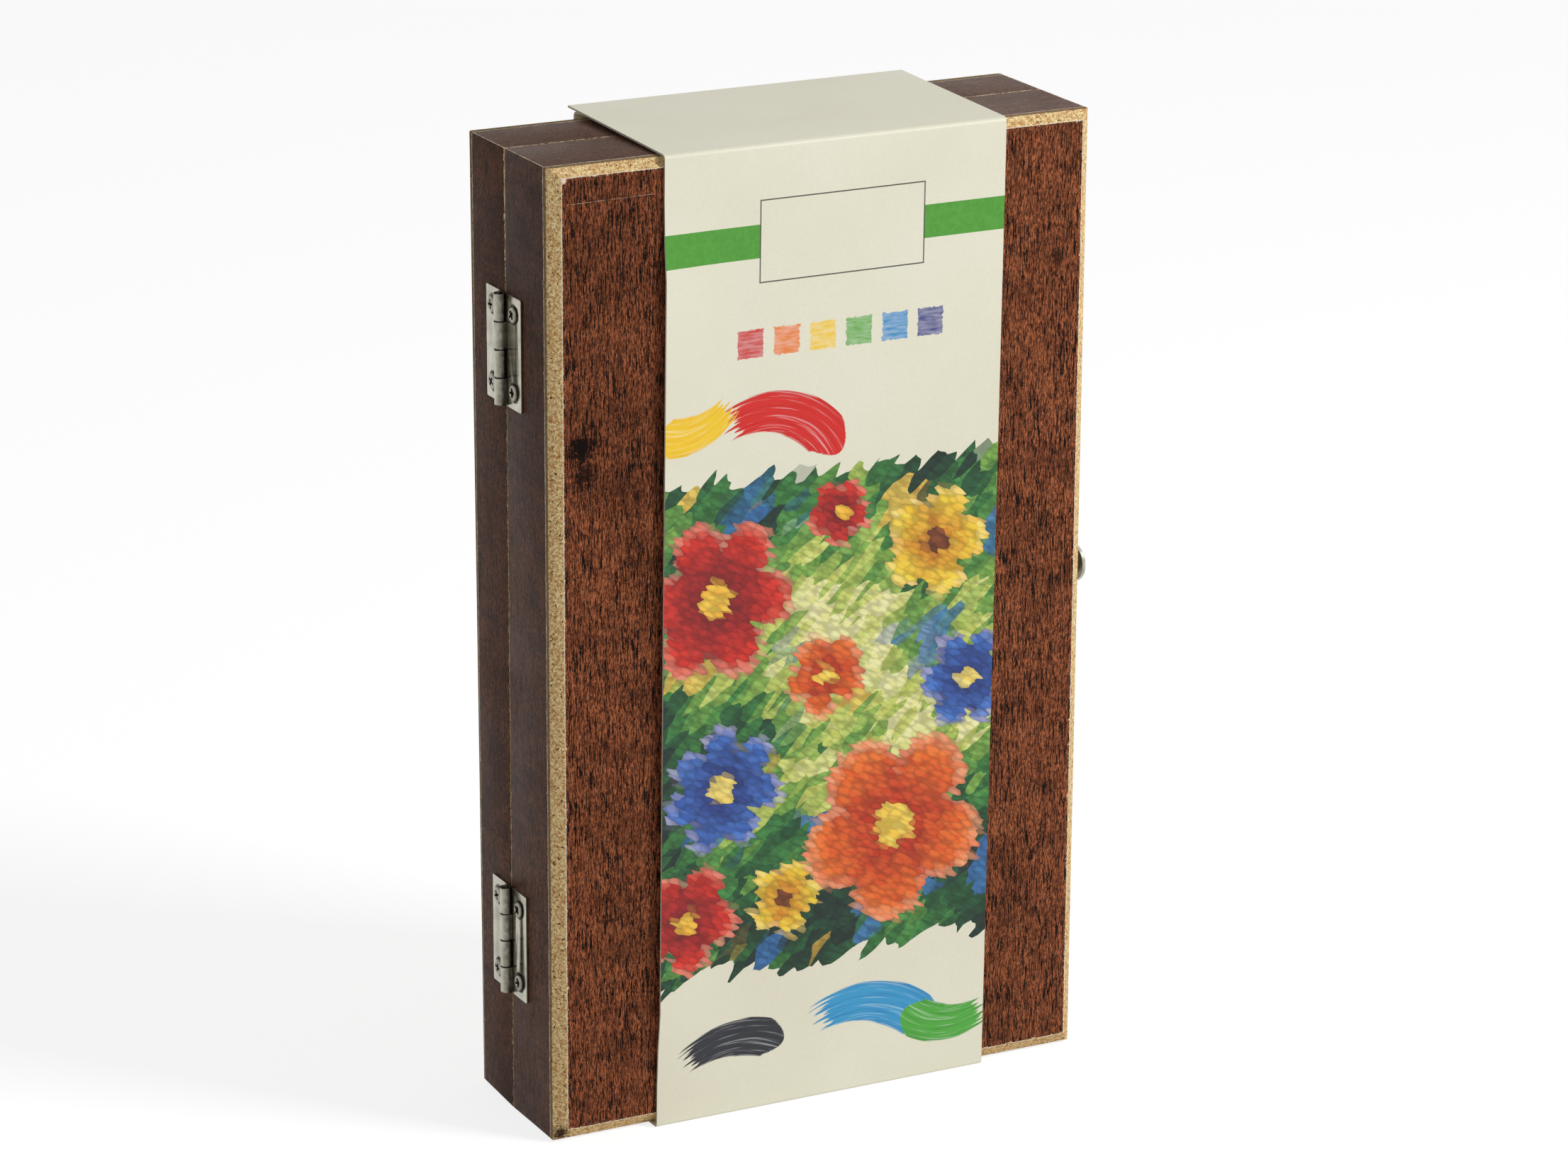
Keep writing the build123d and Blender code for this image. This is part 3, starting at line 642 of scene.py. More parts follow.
@shader_group("painted hinge shade", vector=origin)
def painted_hinge_shade(vector):
    """Painted shade darkens the gaps between the knuckles, the barrel's flanks, the root
    of each leaf and the screws' rims. The two hinges and their leaves mirror the places."""
    spot = separate(vector)
    from_centre = absolute(subtract(spot["Z"], between_hinges))
    upward = subtract(from_centre, hinge_away)
    outward = absolute(spot["Y"])
    to_gap = maths("PINGPONG", add(upward, hinge_half_length), knuckle_pitch / 2)
    on_barrel = less_than(outward, barrel_reach)
    gap = multiply(remap(to_gap, 0.42 * mm, 0.12 * mm), on_barrel)
    flank = multiply(remap(outward, 0.35 * mm, 1.3 * mm, 0.0, 0.75), on_barrel)
    to_root = absolute(subtract(outward, leaf_root))
    root = remap(to_root, 0.6 * mm, 0.1 * mm, 0.0, 0.85)
    up_off = subtract(absolute(upward), screw_from_middle)
    out_off = subtract(outward, screw_from_pin)
    from_screw = vector_maths("LENGTH", combined(0.0, out_off, up_off))["Value"]
    rim = remap(absolute(subtract(from_screw, screw_rim)), 0.5 * mm, 0.16 * mm)
    deepest = maximum(maximum(gap, root), maximum(rim, flank))
    patchy = remap(noise(vector, 900, 2), 0.3, 0.6, 0.7, 1.0)
    return {"mask": multiply(deepest, patchy)}


def metal_material(name, clean, dull, tint, stain, relief=0.12):
    """A metal from its roughness where clean and dull, its colour and its stains' colour."""
    material = new_material(name, metallic=1.0)
    at = here()
    marks = handled_metal(at, clean, dull, tint, stain)
    # Painted shade: darker and a little rougher in the hinges' gaps, flanks, leaf roots and screw
    # rims.
    hinge_shade_mask = painted_hinge_shade(at)
    feed(
        base_color=mixed(hinge_shade_mask, marks["color"], painted_shade_colour),
        roughness=multiply_add(hinge_shade_mask, 0.25, marks["roughness"]),
        normal=bump(marks["height"], relief, 0.03 * mm),
    )
    return material


def clad_copy(name, body, slot, material, softness, angle=30):
    """A CAD node's mesh copied, merged, cleared of facets and softened, in one material."""
    choose()
    source = frame["nodes"][name]
    piece = source.copy()
    piece.data = source.data.copy()
    piece.parent = None
    piece.name = piece.data.name = f"{name}_finished"
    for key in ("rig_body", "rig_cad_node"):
        if key in piece:
            del piece[key]
    bpy.context.scene.collection.objects.link(piece)
    piece.data.materials.clear()
    edit(piece)
    bpy.ops.mesh.select_all(action="SELECT")
    bpy.ops.mesh.remove_doubles(threshold=0.002 * mm)
    bpy.ops.mesh.customdata_custom_splitnormals_clear()
    bpy.ops.mesh.dissolve_limited(angle_limit=radians(1.0))
    close_edit()
    if softness:
        soften(piece, softness, angle=angle)
    else:
        smooth(piece)
    piece.data.materials.append(material)
    on_body(piece, body, slot, name)
    return piece


nickel = metal_material("nickel plate", 0.12, 0.22, nickel_colour, nickel_stain, 0.06)
for place in ("lower", "upper"):
    for part, body in (("base_leaf", "base"), ("lid_leaf", "lid"), ("pin", "base")):
        clad_copy(f"{place}_hinge_{part}", body, "nickel", nickel, leaf_softness)

# Wood screws
# Small pan head screws with a cross recess hold the hinges and the latch. The plating is
# worn on the head, and the recess is painted near black as shade.
head_radius = 1.95 * mm
head_height = 0.65 * mm
head_top_share = 0.86
crown_width = 0.5 * mm
recess_reach = 1.45 * mm
recess_width = 0.6 * mm
recess_depth = 0.5 * mm
first_turn = 17
next_turn = 37
plate_tones = (srgb(158, 153, 138), srgb(84, 77, 64))
recess_shade_tones = (srgb(40, 36, 33), srgb(22, 19, 17))
screw_plate = metal_material("screw plate", 0.1, 0.2, *plate_tones, 0.1)
# Painted shade: the faces of the cross recess get a near black metal.
painted_recess_shade = metal_material("screw recess", 0.5, 0.8, *recess_shade_tones)


def domed_screw_head():
    """A cross-recessed head that stands on the origin and faces up."""
    choose()
    bpy.ops.mesh.primitive_cylinder_add(
        vertices=32, radius=head_radius, depth=head_height, location=(0, 0, head_height / 2)
    )
    head = settled("screw_head")
    edit(head)
    pick("faces", lambda co: co.z > head_height - tiny)
    inwards = (head_top_share, head_top_share, 1)
    bpy.ops.transform.resize(value=inwards, center_override=(0, 0, head_height))
    bpy.ops.mesh.inset(thickness=crown_width, depth=0)
    close_edit()
    soften(head, 0.3 * mm, 4, 25)
    head.data.materials.append(screw_plate)
    head.data.materials.append(painted_recess_shade)
    for turn in (0, 90):
        low = (-recess_reach, -recess_width / 2, head_height - recess_depth)
        high = (recess_reach, recess_width / 2, head_height + recess_depth)
        arm = add_block("recess_arm", low, high)
        edit(arm)
        pick("faces", lambda co: co.z < head_height - recess_depth + tiny)
        bpy.ops.transform.resize(value=(0.5, 0.8, 1), center_override=(0, 0, 0))
        close_edit()
        arm.data.transform(Matrix.Rotation(radians(turn), 4, "Z"))
        arm.data.materials.append(screw_plate)
        paint(arm, painted_recess_shade, lambda at, normal: True)
        apply_modifier(head, "BOOLEAN", object=arm, operation="DIFFERENCE", solver="EXACT")
        bpy.data.objects.remove(arm)
    return head


def joined(pieces, name):
    """Several pieces made into one."""
    choose(*pieces)
    bpy.ops.object.join()
    pieces[0].name = pieces[0].data.name = name
    return pieces[0]


def copied(pattern, place):
    """A copy with its own mesh, moved by a matrix."""
    piece = pattern.copy()
    piece.data = pattern.data.copy()
    piece.data.transform(place)
    bpy.context.scene.collection.objects.link(piece)
    return piece


def screw_places(node_name):
    """The middles of a CAD node's separate screws, found from its own points."""
    found = []
    for vert in frame["nodes"][node_name].data.vertices:
        near = [group for group in found if abs(group[0].z - vert.co.z) < 2.5 * head_radius]
        if near:
            near[0].append(vert.co)
        else:
            found.append([vert.co])
    return [Vector((min(values) + max(values)) / 2 for values in zip(*group)) for group in found]


pattern_screw = domed_screw_head()
turned_by = first_turn
screw_sets = {
    "base_hinge_screws": ("base", -1),
    "lid_hinge_screws": ("lid", -1),
    "strike_screws": ("base", 1),
    "latch_plate_screws": ("lid", 1),
}
for name, (body, out) in screw_sets.items():
    low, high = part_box(name)
    seat = low.x + head_height if out < 0 else high.x - head_height
    heads = []
    for middle in screw_places(name):
        spin = Matrix.Rotation(radians(turned_by), 4, "Z")
        face_out = Matrix.Rotation(radians(90 * out), 4, "Y")
        move = Matrix.Translation((seat, middle.y, middle.z))
        heads.append(copied(pattern_screw, move @ face_out @ spin))
        turned_by += next_turn
    on_body(joined(heads, name.replace("screws", "screw_heads")), body, "nickel", name)
bpy.data.objects.remove(pattern_screw)

# Latch
# A folded hook on the base, and on the lid a plate with two rolled lugs whose pin carries
# the slotted tongue. All are stamped from sheet and nickel plated.
latch_softness = 0.14 * mm
latch_bodies = {
    "strike_plate": "base",
    "latch_plate": "lid",
    "latch_pin": "lid",
    "latch_tongue": "latch_tongue",
}
for name, body in latch_bodies.items():
    clad_copy(name, body, "nickel", nickel, latch_softness)

# Trays
# One clear formed sheet in each half, with a cup for each thing. It turns paler and more
# opaque where it is seen edge on, which is a painted sheen.
clear_sheet = new_material("clear tray", base_color=srgb(238, 241, 240), roughness=0.09)
facing = node("LayerWeight", {"Blend": 0.35})["Facing"]
haze = noise(here(), 90, 3)
# Painted sheen: the sheet grows more opaque and white where it faces away from the view.
feed(alpha=multiply_add(haze, 0.08, remap(facing, 0.2, 1.0, 0.05, 0.75)))
for body in ("base", "lid"):
    clad_copy(f"{body}_tray", body, "clear_tray", clear_sheet, 0.18 * mm, 40)

# Paint tubes
# Laminate tubes, round at the shoulder and pressed flat to a crimped tail. Each is white
# with a cream label, a band in the colour of its paint and a thin grey ring.
tube_low, tube_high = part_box("paint_tube_01")
tube_radius = 7.25 * mm
cap_radius = 7.75 * mm
tube_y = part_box("tube_caps")[0].y + cap_radius
crimp_half_width = (tube_high.x - tube_low.x) / 2
crimp_half_depth = 0.5 * mm
crimp_length = 6 * mm
neck_length = 9 * mm
neck_radius = 3.1 * mm
shoulder = 0.7 * mm
round_length = 24 * mm
press_steps = 8
ring_end = 1.6 * mm
label_start = 5 * mm
label_end = 46 * mm
paint_band_end = 58 * mm
paint_tones = [
    (240, 240, 236),
    (26, 26, 28),
    (116, 16, 26),
    (232, 96, 24),
    (24, 40, 142),
    (28, 138, 206),
    (92, 54, 34),
    (16, 84, 52),
    (98, 176, 62),
    (150, 24, 34),
    (204, 142, 40),
    (248, 214, 36),
]

greater_than = partial(maths, "GREATER_THAN")
tube_skin = new_material("tube laminate", roughness=0.32, coat_weight=0.25, coat_roughness=0.12)
along = node("Attribute", attribute_name="along")["Fac"]
paint_colour = node("Attribute", attribute_name="paint")["Color"]
on_label = multiply(greater_than(along, label_start), less_than(along, label_end))
labelled = mixed(on_label, srgb(236, 236, 232), srgb(240, 228, 170))
on_band = multiply(greater_than(along, label_end), less_than(along, paint_band_end))
coloured = mixed(on_band, labelled, paint_colour)
crease = noise(here(), 180, 3, stretch=(1, 1, 0.4))
feed(
    base_color=mixed(less_than(along, ring_end), coloured, srgb(150, 152, 154)),
    normal=bump(crease, 0.25, 0.6 * mm),
)
crimp_metal = new_material("crimped tail", roughness=0.35, coat_weight=0.2)
ribs = node("TexWave", {"Vector": here(), "Scale": 160}, bands_direction="Z")["Fac"]
feed(
    base_color=mixed(ribs, srgb(222, 222, 220), srgb(244, 244, 240)),
    normal=bump(ribs, 0.6, 0.15 * mm),
)


def turned_piece(name, x, y, stations, sides):
    """A closed piece along Z from stations of height and radius, or half widths in X and Y."""
    stations = [(*station, station[-1])[:3] for station in stations]
    height, wide, deep = stations[0]
    choose()
    bpy.ops.mesh.primitive_circle_add(
        vertices=sides, radius=1, fill_type="NGON", location=(x, y, height)
    )
    piece = settled(name, (wide, deep, 1))
    edit(piece)
    bpy.ops.mesh.select_all(action="SELECT")
    for next_height, next_wide, next_deep in stations[1:]:
        push(0, 0, next_height - height)
        ratio = (next_wide / wide, next_deep / deep, 1)
        bpy.ops.transform.resize(value=ratio, center_override=(x, y, next_height))
        height, wide, deep = next_height, next_wide, next_deep
    bpy.ops.mesh.select_all(action="SELECT")
    bpy.ops.mesh.normals_make_consistent(inside=False)
    close_edit()
    return piece


def finish(piece, material, angle, body, slot, node_name):
    """Give a made piece its material and shading, and let it stand for its CAD node."""
    piece.data.materials.append(material)
    smooth(piece, angle)
    on_body(piece, body, slot, node_name)


def own_values(piece, name, value_of):
    """An attribute of the piece's own, worked out from the place of each point."""
    field = piece.data.attributes.new(name, "FLOAT", "POINT")
    for item, vert in zip(field.data, piece.data.vertices):
        item.value = value_of(vert.co)


def paint_tube(number, colour):
    """One tube, made where its CAD node is, with its own paint colour as an attribute."""
    node_name = f"paint_tube_{number:02d}"
    low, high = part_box(node_name)
    start = low.z + neck_length
    tail = high.z - crimp_length
    pressed_from = start + round_length
    stations = [
        (low.z + 0.4 * mm, neck_radius),
        (start, neck_radius),
        (start + 0.05 * mm, tube_radius - shoulder),
        (start + shoulder, tube_radius),
        (pressed_from, tube_radius),
    ]
    for step in range(1, press_steps + 1):
        share = step / press_steps
        wide = tube_radius + (crimp_half_width - tube_radius) * share
        deep = tube_radius + (crimp_half_depth - tube_radius) * share**1.15
        stations.append((pressed_from + (tail - pressed_from) * share, wide, deep))
    stations.append((high.z, crimp_half_width, crimp_half_depth * 0.9))
    x = (low.x + high.x) / 2
    tube = turned_piece(f"tube_of_paint_{number:02d}", x, tube_y, stations, 32)
    finish(tube, tube_skin, 35, "base", "tube_laminate", node_name)
    paint(tube, crimp_metal, lambda at, normal: at.z > tail)
    own_values(tube, "along", lambda co: co.z - start)
    for item in tube.data.attributes.new("paint", "FLOAT_COLOR", "POINT").data:
        item.color = colour


for number, tone in enumerate(paint_tones, 1):
    paint_tube(number, srgb(*tone))

# Tube caps
# White moulded screw caps, slightly tapered, with a rounded end and a collar at the mouth.
# The caps of all the tubes are joined into one piece.
cap_length = 17 * mm
cap_end = 7.0 * mm
cap_waist = 7.35 * mm
cap_groove = 7.2 * mm


def plain_finish(name, tones, patches, grain, relief, span=(0.3, 0.7), over=None, **constants):
    """A moulded or lacquered finish: two near tones in soft patches, and a fine grain."""
    material = new_material(name, **constants)
    at = here()
    colour = mixed(remap(noise(at, *patches), *span), *(srgb(*tone) for tone in tones))
    feed(
        base_color=over(separate(at), colour) if over else colour,
        normal=bump(noise(at, *grain), *relief),
    )
    return material


cap_plastic = plain_finish(
    "cap plastic",
    [(234, 234, 230), (244, 244, 241)],
    patches=(60, 2),
    grain=(3000, 1),
    relief=(0.1, 0.03 * mm),
    roughness=0.38,
    subsurface_weight=0.05,
)
caps = []
for number in range(1, len(paint_tones) + 1):
    low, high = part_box(f"paint_tube_{number:02d}")
    top = low.z + neck_length
    bottom = top - cap_length
    stations = [
        (bottom, cap_end - 1.2 * mm),
        (bottom + 0.35 * mm, cap_end - 0.4 * mm),
        (bottom + 1.0 * mm, cap_end),
        (top - 2.6 * mm, cap_waist),
        (top - 2.4 * mm, cap_groove),
        (top - 2.2 * mm, cap_waist),
        (top - 1.9 * mm, cap_radius),
        (top - 0.3 * mm, cap_radius),
        (top - 0.02 * mm, cap_radius - 0.25 * mm),
    ]
    caps.append(turned_piece(f"cap_{number:02d}", (low.x + high.x) / 2, tube_y, stations, 40))
finish(joined(caps, "white_caps"), cap_plastic, 40, "base", "cap_plastic", "tube_caps")

# Palette
# One white moulding of hard plastic, with six wells in a row and softly rounded rims.
# It lies loose in the lid's tray.
palette_white = plain_finish(
    "palette white",
    [(233, 234, 232), (242, 243, 240)],
    patches=(45, 2),
    grain=(2400, 1),
    relief=(0.08, 0.03 * mm),
    roughness=0.3,
    coat_weight=0.3,
    coat_roughness=0.15,
)
clad_copy("palette", "lid", "palette_plastic", palette_white, 0.45 * mm, 40)

# Eraser
# A block of white vinyl in a dark card sleeve, which leaves both ends bare. The sleeve has
# a green stripe at one end.
stripe_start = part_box("eraser_sleeve")[1].x - 6 * mm
stripe_green = srgb(96, 150, 70)
vinyl = plain_finish(
    "eraser vinyl",
    [(238, 237, 232), (206, 204, 198)],
    patches=(500, 3, 0.7),
    span=(0.55, 0.75, 0.0, 0.35),
    grain=(1400, 3),
    relief=(0.15, 0.08 * mm),
    roughness=0.62,
    subsurface_weight=0.1,
)
sleeve_card = plain_finish(
    "eraser sleeve",
    [(26, 30, 34), (44, 48, 52)],
    patches=(900, 3),
    span=(0.4, 0.7, 0.0, 0.3),
    grain=(2200, 2),
    relief=(0.12, 0.04 * mm),
    over=lambda at, colour: mixed(greater_than(at["X"], stripe_start), colour, stripe_green),
    roughness=0.42,
)
clad_copy("eraser", "lid", "eraser_vinyl", vinyl, 0.35 * mm)
clad_copy("eraser_sleeve", "lid", "eraser_card", sleeve_card, 0.12 * mm)

# Sharpener
# A cast wedge of light metal with ribbed grips, and a ground steel blade that one small
# screw holds.
cast_tones = (srgb(188, 190, 192), srgb(140, 140, 140))
blade_tones = (srgb(196, 198, 200), srgb(120, 122, 126))
cast_metal = metal_material("cast metal", 0.32, 0.5, *cast_tones, 0.3)
blade_steel = metal_material("blade steel", 0.12, 0.26, *blade_tones)
clad_copy("sharpener_body", "lid", "sharpener_metal", cast_metal, 0.2 * mm)
clad_copy("sharpener_blade", "lid", "blade_steel", blade_steel, 0.08 * mm)
clad_copy("sharpener_screw", "lid", "nickel", nickel, 0.1 * mm)

# Pencil
# A six sided cedar case in dark lacquer, cut to a cone at its point, with a graphite lead
# and a pale ring near the butt.
ring_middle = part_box("pencil_case")[1].z - 9 * mm
ring_width = 1.6 * mm
ring_pale = srgb(228, 226, 214)
lacquer = plain_finish(
    "pencil lacquer",
    [(18, 34, 30), (26, 44, 38)],
    patches=(300, 2),
    grain=(700, 2),
    relief=(0.06, 0.05 * mm),
    over=lambda at, colour: mixed(
        compare(at["Z"], ring_middle, ring_width / 2), colour, ring_pale
    ),
    roughness=0.2,
    coat_weight=0.6,
    coat_roughness=0.06,
)
cedar = new_material("cut cedar", roughness=0.7)
strips = noise(here(), 2400, 3, stretch=(1, 1, 0.12))
feed(
    base_color=mixed(strips, srgb(222, 164, 122), srgb(186, 122, 84)),
    normal=bump(strips, 0.4, 0.06 * mm),
)
graphite = metal_material("graphite", 0.3, 0.45, srgb(70, 70, 74), srgb(48, 48, 52))
case = clad_copy("pencil_case", "lid", "black_lacquer", lacquer, 0.12 * mm, 20)
paint(case, cedar, lambda at, normal: normal.z < -0.1 or normal.z > 0.9)
clad_copy("pencil_lead", "lid", "graphite", graphite, 0)

# Brushes
# Turned handles in black lacquer, nickel plated ferrules with two crimps, and amber hair.
# One is round, one flat and one filbert. The ferrules of the last two are pressed flat.
handle_black = plain_finish(
    "handle lacquer",
    [(16, 16, 18), (26, 26, 28)],
    patches=(240, 2),
    grain=(500, 2),
    relief=(0.05, 0.06 * mm),
    roughness=0.16,
    coat_weight=0.7,
    coat_roughness=0.05,
)
ferrule_tones = (srgb(206, 204, 198), srgb(176, 172, 166))
ferrule_plate = metal_material("ferrule plate", 0.14, 0.24, *ferrule_tones, 0.02)
hair = new_material("brush hair", roughness=0.45, specular_ior_level=0.4)
strands = noise(here(), 6500, 2, stretch=(1, 1, 0.03))
tips = node("Attribute", attribute_name="towards_tip")["Fac"]
amber = mixed(strands, srgb(196, 122, 50), srgb(120, 64, 24))
feed(
    base_color=mixed(multiply(tips, 0.6), amber, srgb(96, 46, 18)),
    normal=bump(strands, 0.8, 0.12 * mm),
)
thin = 1.35 * mm
crimp_depth = 0.25 * mm
crimp_reach = 0.5 * mm
# Millimetres above the ferrule, and the share of the ferrule's radius.
handle_swell = [(-1.0, 0.9), (0.05, 0.92), (3, 0.98), (10, 1.0), (22, 0.96), (36, 0.78)]
# Down the hair, the shares of its length, width and depth.
round_tip = [(0.0, 0.96, 0.96), (0.35, 1.06, 1.06), (0.7, 0.72, 0.72)]
round_tip += [(0.9, 0.34, 0.34), (1.0, 0.06, 0.06)]
flat_tip = [(0.0, 0.96, 0.92), (0.4, 1.05, 0.9), (0.8, 1.03, 0.6), (1.0, 1.0, 0.22)]
filbert_tip = [(0.0, 0.96, 0.92), (0.4, 1.08, 0.9), (0.7, 0.98, 0.66)]
filbert_tip += [(0.9, 0.66, 0.4), (1.0, 0.26, 0.14)]
# How flat each ferrule is, and its tip.
brush_kinds = {
    "round": (1.0, round_tip),
    "flat": (0.5, flat_tip),
    "filbert": (0.55, filbert_tip),
}
for kind, (flat, tip_shape) in brush_kinds.items():
    ferrule_low, ferrule_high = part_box(f"brush_ferrule_{kind}")
    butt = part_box(f"brush_handle_{kind}")[1].z
    x = (ferrule_low.x + ferrule_high.x) / 2
    y = (ferrule_low.y + ferrule_high.y) / 2
    radius = (ferrule_high.x - ferrule_low.x) / 2
    neck = ferrule_high.z
    stations = [(neck + rise * mm, radius * share) for rise, share in handle_swell]
    stations += [
        (neck + 52 * mm, thin * 1.12),
        (neck + 75 * mm, thin),
        (butt - 3 * mm, thin * 0.9),
        (butt - 0.6 * mm, thin * 0.7),
        (butt, thin * 0.3),
    ]
    handle = turned_piece(f"handle_of_{kind}_brush", x, y, stations, 28)
    finish(handle, handle_black, 50, "lid", "black_lacquer", f"brush_handle_{kind}")
    bottom = ferrule_low.z
    stations = [
        (bottom, radius * 0.97, radius * flat * 0.97),
        (bottom + 0.3 * mm, radius, radius * flat),
        (bottom + 4 * mm, radius, radius * flat),
        (bottom + 15 * mm, radius, radius * (1 + flat) / 2),
        (neck - 8 * mm, radius),
    ]
    for place in (neck - 6 * mm, neck - 3 * mm):
        stations += [
            (place - crimp_reach, radius),
            (place, radius - crimp_depth),
            (place + crimp_reach, radius),
        ]
    stations += [(neck - 0.2 * mm, radius), (neck, radius * 0.96)]
    ferrule = turned_piece(f"ferrule_of_{kind}_brush", x, y, stations, 32)
    finish(ferrule, ferrule_plate, 50, "lid", "ferrule_metal", f"brush_ferrule_{kind}")
    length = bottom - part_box(f"brush_tuft_{kind}")[0].z
    stations = [
        (bottom - length * share, radius * wide, radius * flat * deep)
        for share, wide, deep in tip_shape
    ]
    tuft = turned_piece(f"hair_of_{kind}_brush", x, y, stations, 36)
    finish(tuft, hair, 60, "lid", "brush_hair", f"brush_tuft_{kind}")
    own_values(tuft, "towards_tip", lambda co: (bottom - co.z) / length)

# Belly band
# One strip of cream coated card, scored and folded round the box. Its rear panel folds
# over the top and lies under the front ply, which overhangs the rear edge a little.
card = 0.45 * mm
clearance = 0.3 * mm
band_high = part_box("belly_band")[1]
band_width = 82.65 * mm
band_left = -41.6 * mm
band_lean = 2.3 / 220
front_y = half_low.y - clearance - card / 2
back_y = lid_high.y + clearance + card / 2
ply_rise = 1.05 * mm
under = card + 0.05 * mm
flap_length = 24 * mm
flap_taper = 7 * mm
fold_radii = [0.9 * mm, 0.7 * mm, 0.7 * mm, 1.0 * mm]
fold_steps = 5


def ply_height(y, below=0.0):
    """Middle of the top ply at a depth, which climbs a little towards the rear."""
    share = (y - front_y) / (band_high.y - front_y)
    return band_high.z - card / 2 - ply_rise * (1 - share) - below


def rounded(points, radii):
    """A run of points with an arc of small steps at each inner corner."""
    path = [Vector(points[0])]
    for before, corner, after, radius in zip(points, points[1:], points[2:], radii):
        corner = Vector(corner)
        back = (Vector(before) - corner).normalized()
        ahead = (Vector(after) - corner).normalized()
        half_angle = back.angle(ahead) / 2
        reach = radius / tan(half_angle)
        centre = corner + (back + ahead).normalized() * radius / sin(half_angle)
        first = corner + back * reach - centre
        last = corner + ahead * reach - centre
        for step in range(fold_steps + 1):
            path.append(centre + first.slerp(last, step / fold_steps) * radius)
    return path + [Vector(points[-1])]


flap_y = back_y - flap_length
band_corners = [
    (band_high.y, ply_height(band_high.y)),
    (front_y, ply_height(front_y)),
    (front_y, card / 2),
    (back_y, card / 2),
    (back_y, ply_height(back_y, under)),
    (flap_y, ply_height(flap_y, under)),
]
band_route = rounded(band_corners, fold_radii)
start = band_route[0]
choose()
bpy.ops.mesh.primitive_plane_add(size=1, location=(band_left + band_width / 2, *start))
band = settled("card_band", (band_width, 1 * mm, 1))
edit(band)
pick("edges", lambda co: co.y > start.x)
bpy.ops.mesh.delete(type="FACE")
pick("verts", lambda co: co.y < start.x)
bpy.ops.mesh.delete(type="VERT")
bpy.ops.mesh.select_mode(type="EDGE")
bpy.ops.mesh.select_all(action="SELECT")
bpy.ops.transform.translate(value=(band_lean * start.y, -0.5 * mm, 0))
for spot, next_spot in zip(band_route, band_route[1:]):
    step = next_spot - spot
    push(band_lean * step.y, step.x, step.y)
flap_end = band_route[-1]
flap_middle = (band_left + band_lean * flap_end.y + band_width / 2, *flap_end)
flap_share = 1 - 2 * flap_taper / band_width
bpy.ops.transform.resize(value=(flap_share, 1, 1), center_override=flap_middle)
bpy.ops.mesh.select_all(action="SELECT")
bpy.ops.mesh.normals_make_consistent(inside=False)
close_edit()

# The strip is cut finely enough to bow. Its front panel stands off along the left edge.
bow = 1.3 * mm
bow_reach = 20 * mm
cuts_across = 15
cuts_along = 24
long_edge = 100 * mm


def cut_edges(wanted, cuts):
    """In edit mode, cut the edges that pass a test into equal lengths."""
    bpy.ops.mesh.select_all(action="DESELECT")
    for edge in bmesh.from_edit_mesh(band.data).edges:
        edge.select_set(wanted(edge))
    bmesh.update_edit_mesh(band.data)
    bpy.ops.mesh.subdivide(number_cuts=cuts)


def at_left_edge(co):
    """Along the front panel's left edge, away from its two folds."""
    on_edge = co.y < front_y + tiny and co.x < band_left + band_lean * co.z + tiny
    return on_edge and bow_reach < co.z < half_high.z - bow_reach


edit(band)
cut_edges(lambda edge: abs(edge.verts[0].co.x - edge.verts[1].co.x) > band_width / 2, cuts_across)
cut_edges(lambda edge: edge.calc_length() > long_edge, cuts_along)
pick("verts", at_left_edge)
bpy.ops.transform.translate(
    value=(0, -bow, 0),
    use_proportional_edit=True,
    proportional_edit_falloff="SHARP",
    proportional_size=bow_reach,
)
close_edit()

# Cream coated card, and its print. The print is a green stripe with a plain framed label,
# a row of swatches, strokes of thick paint, and blossoms daubed in short dabs.
white = (1.0, 1.0, 1.0, 1.0)
card_core = srgb(206, 200, 184)
core_shade = srgb(170, 162, 144)
cream_deep = srgb(232, 228, 205)
cream_pale = srgb(238, 235, 215)
tooth_shade = srgb(205, 200, 176)


@shader_group("card coat", vector=origin)
def card_coat(vector):
    """Coated card is cream in faint patches, with a fine tooth and a slow wave."""
    mottled = remap(noise(vector, 30, 3), 0.3, 0.7)
    tooth = noise(vector, 2200, 3, 0.7)
    toned = mixed(mottled, cream_deep, cream_pale)
    return {
        "color": mixed(remap(tooth, 0.3, 0.7, 0.0, 0.2), toned, tooth_shade),
        "height": multiply_add(noise(vector, 14, 1), 6.0, tooth),
        "shine": remap(tooth, 0.3, 0.7, 0.4, 0.5),
    }


def card_shader(name):
    """A card material and its coat's colour, ready for a print over it."""
    material = new_material(name, specular_ior_level=0.4)
    coat = card_coat(here())
    feed(roughness=coat["shine"], normal=bump(coat["height"], 0.15, 0.04 * mm))
    return material, coat["color"]


plain_card, colour = card_shader("plain card")
feed(base_color=colour)
cut_edge = new_material("cut card edge", roughness=0.8)
fibre = remap(noise(here(), 3000, 2), 0.3, 0.7)
feed(base_color=mixed(fibre, card_core, core_shade), normal=bump(fibre, 0.3, 0.04 * mm))


def turned_about_y(vector, angle):
    inputs = {"Vector": vector, "Angle": angle}
    return node("VectorRotate", inputs, rotation_type="Y_AXIS")[0]


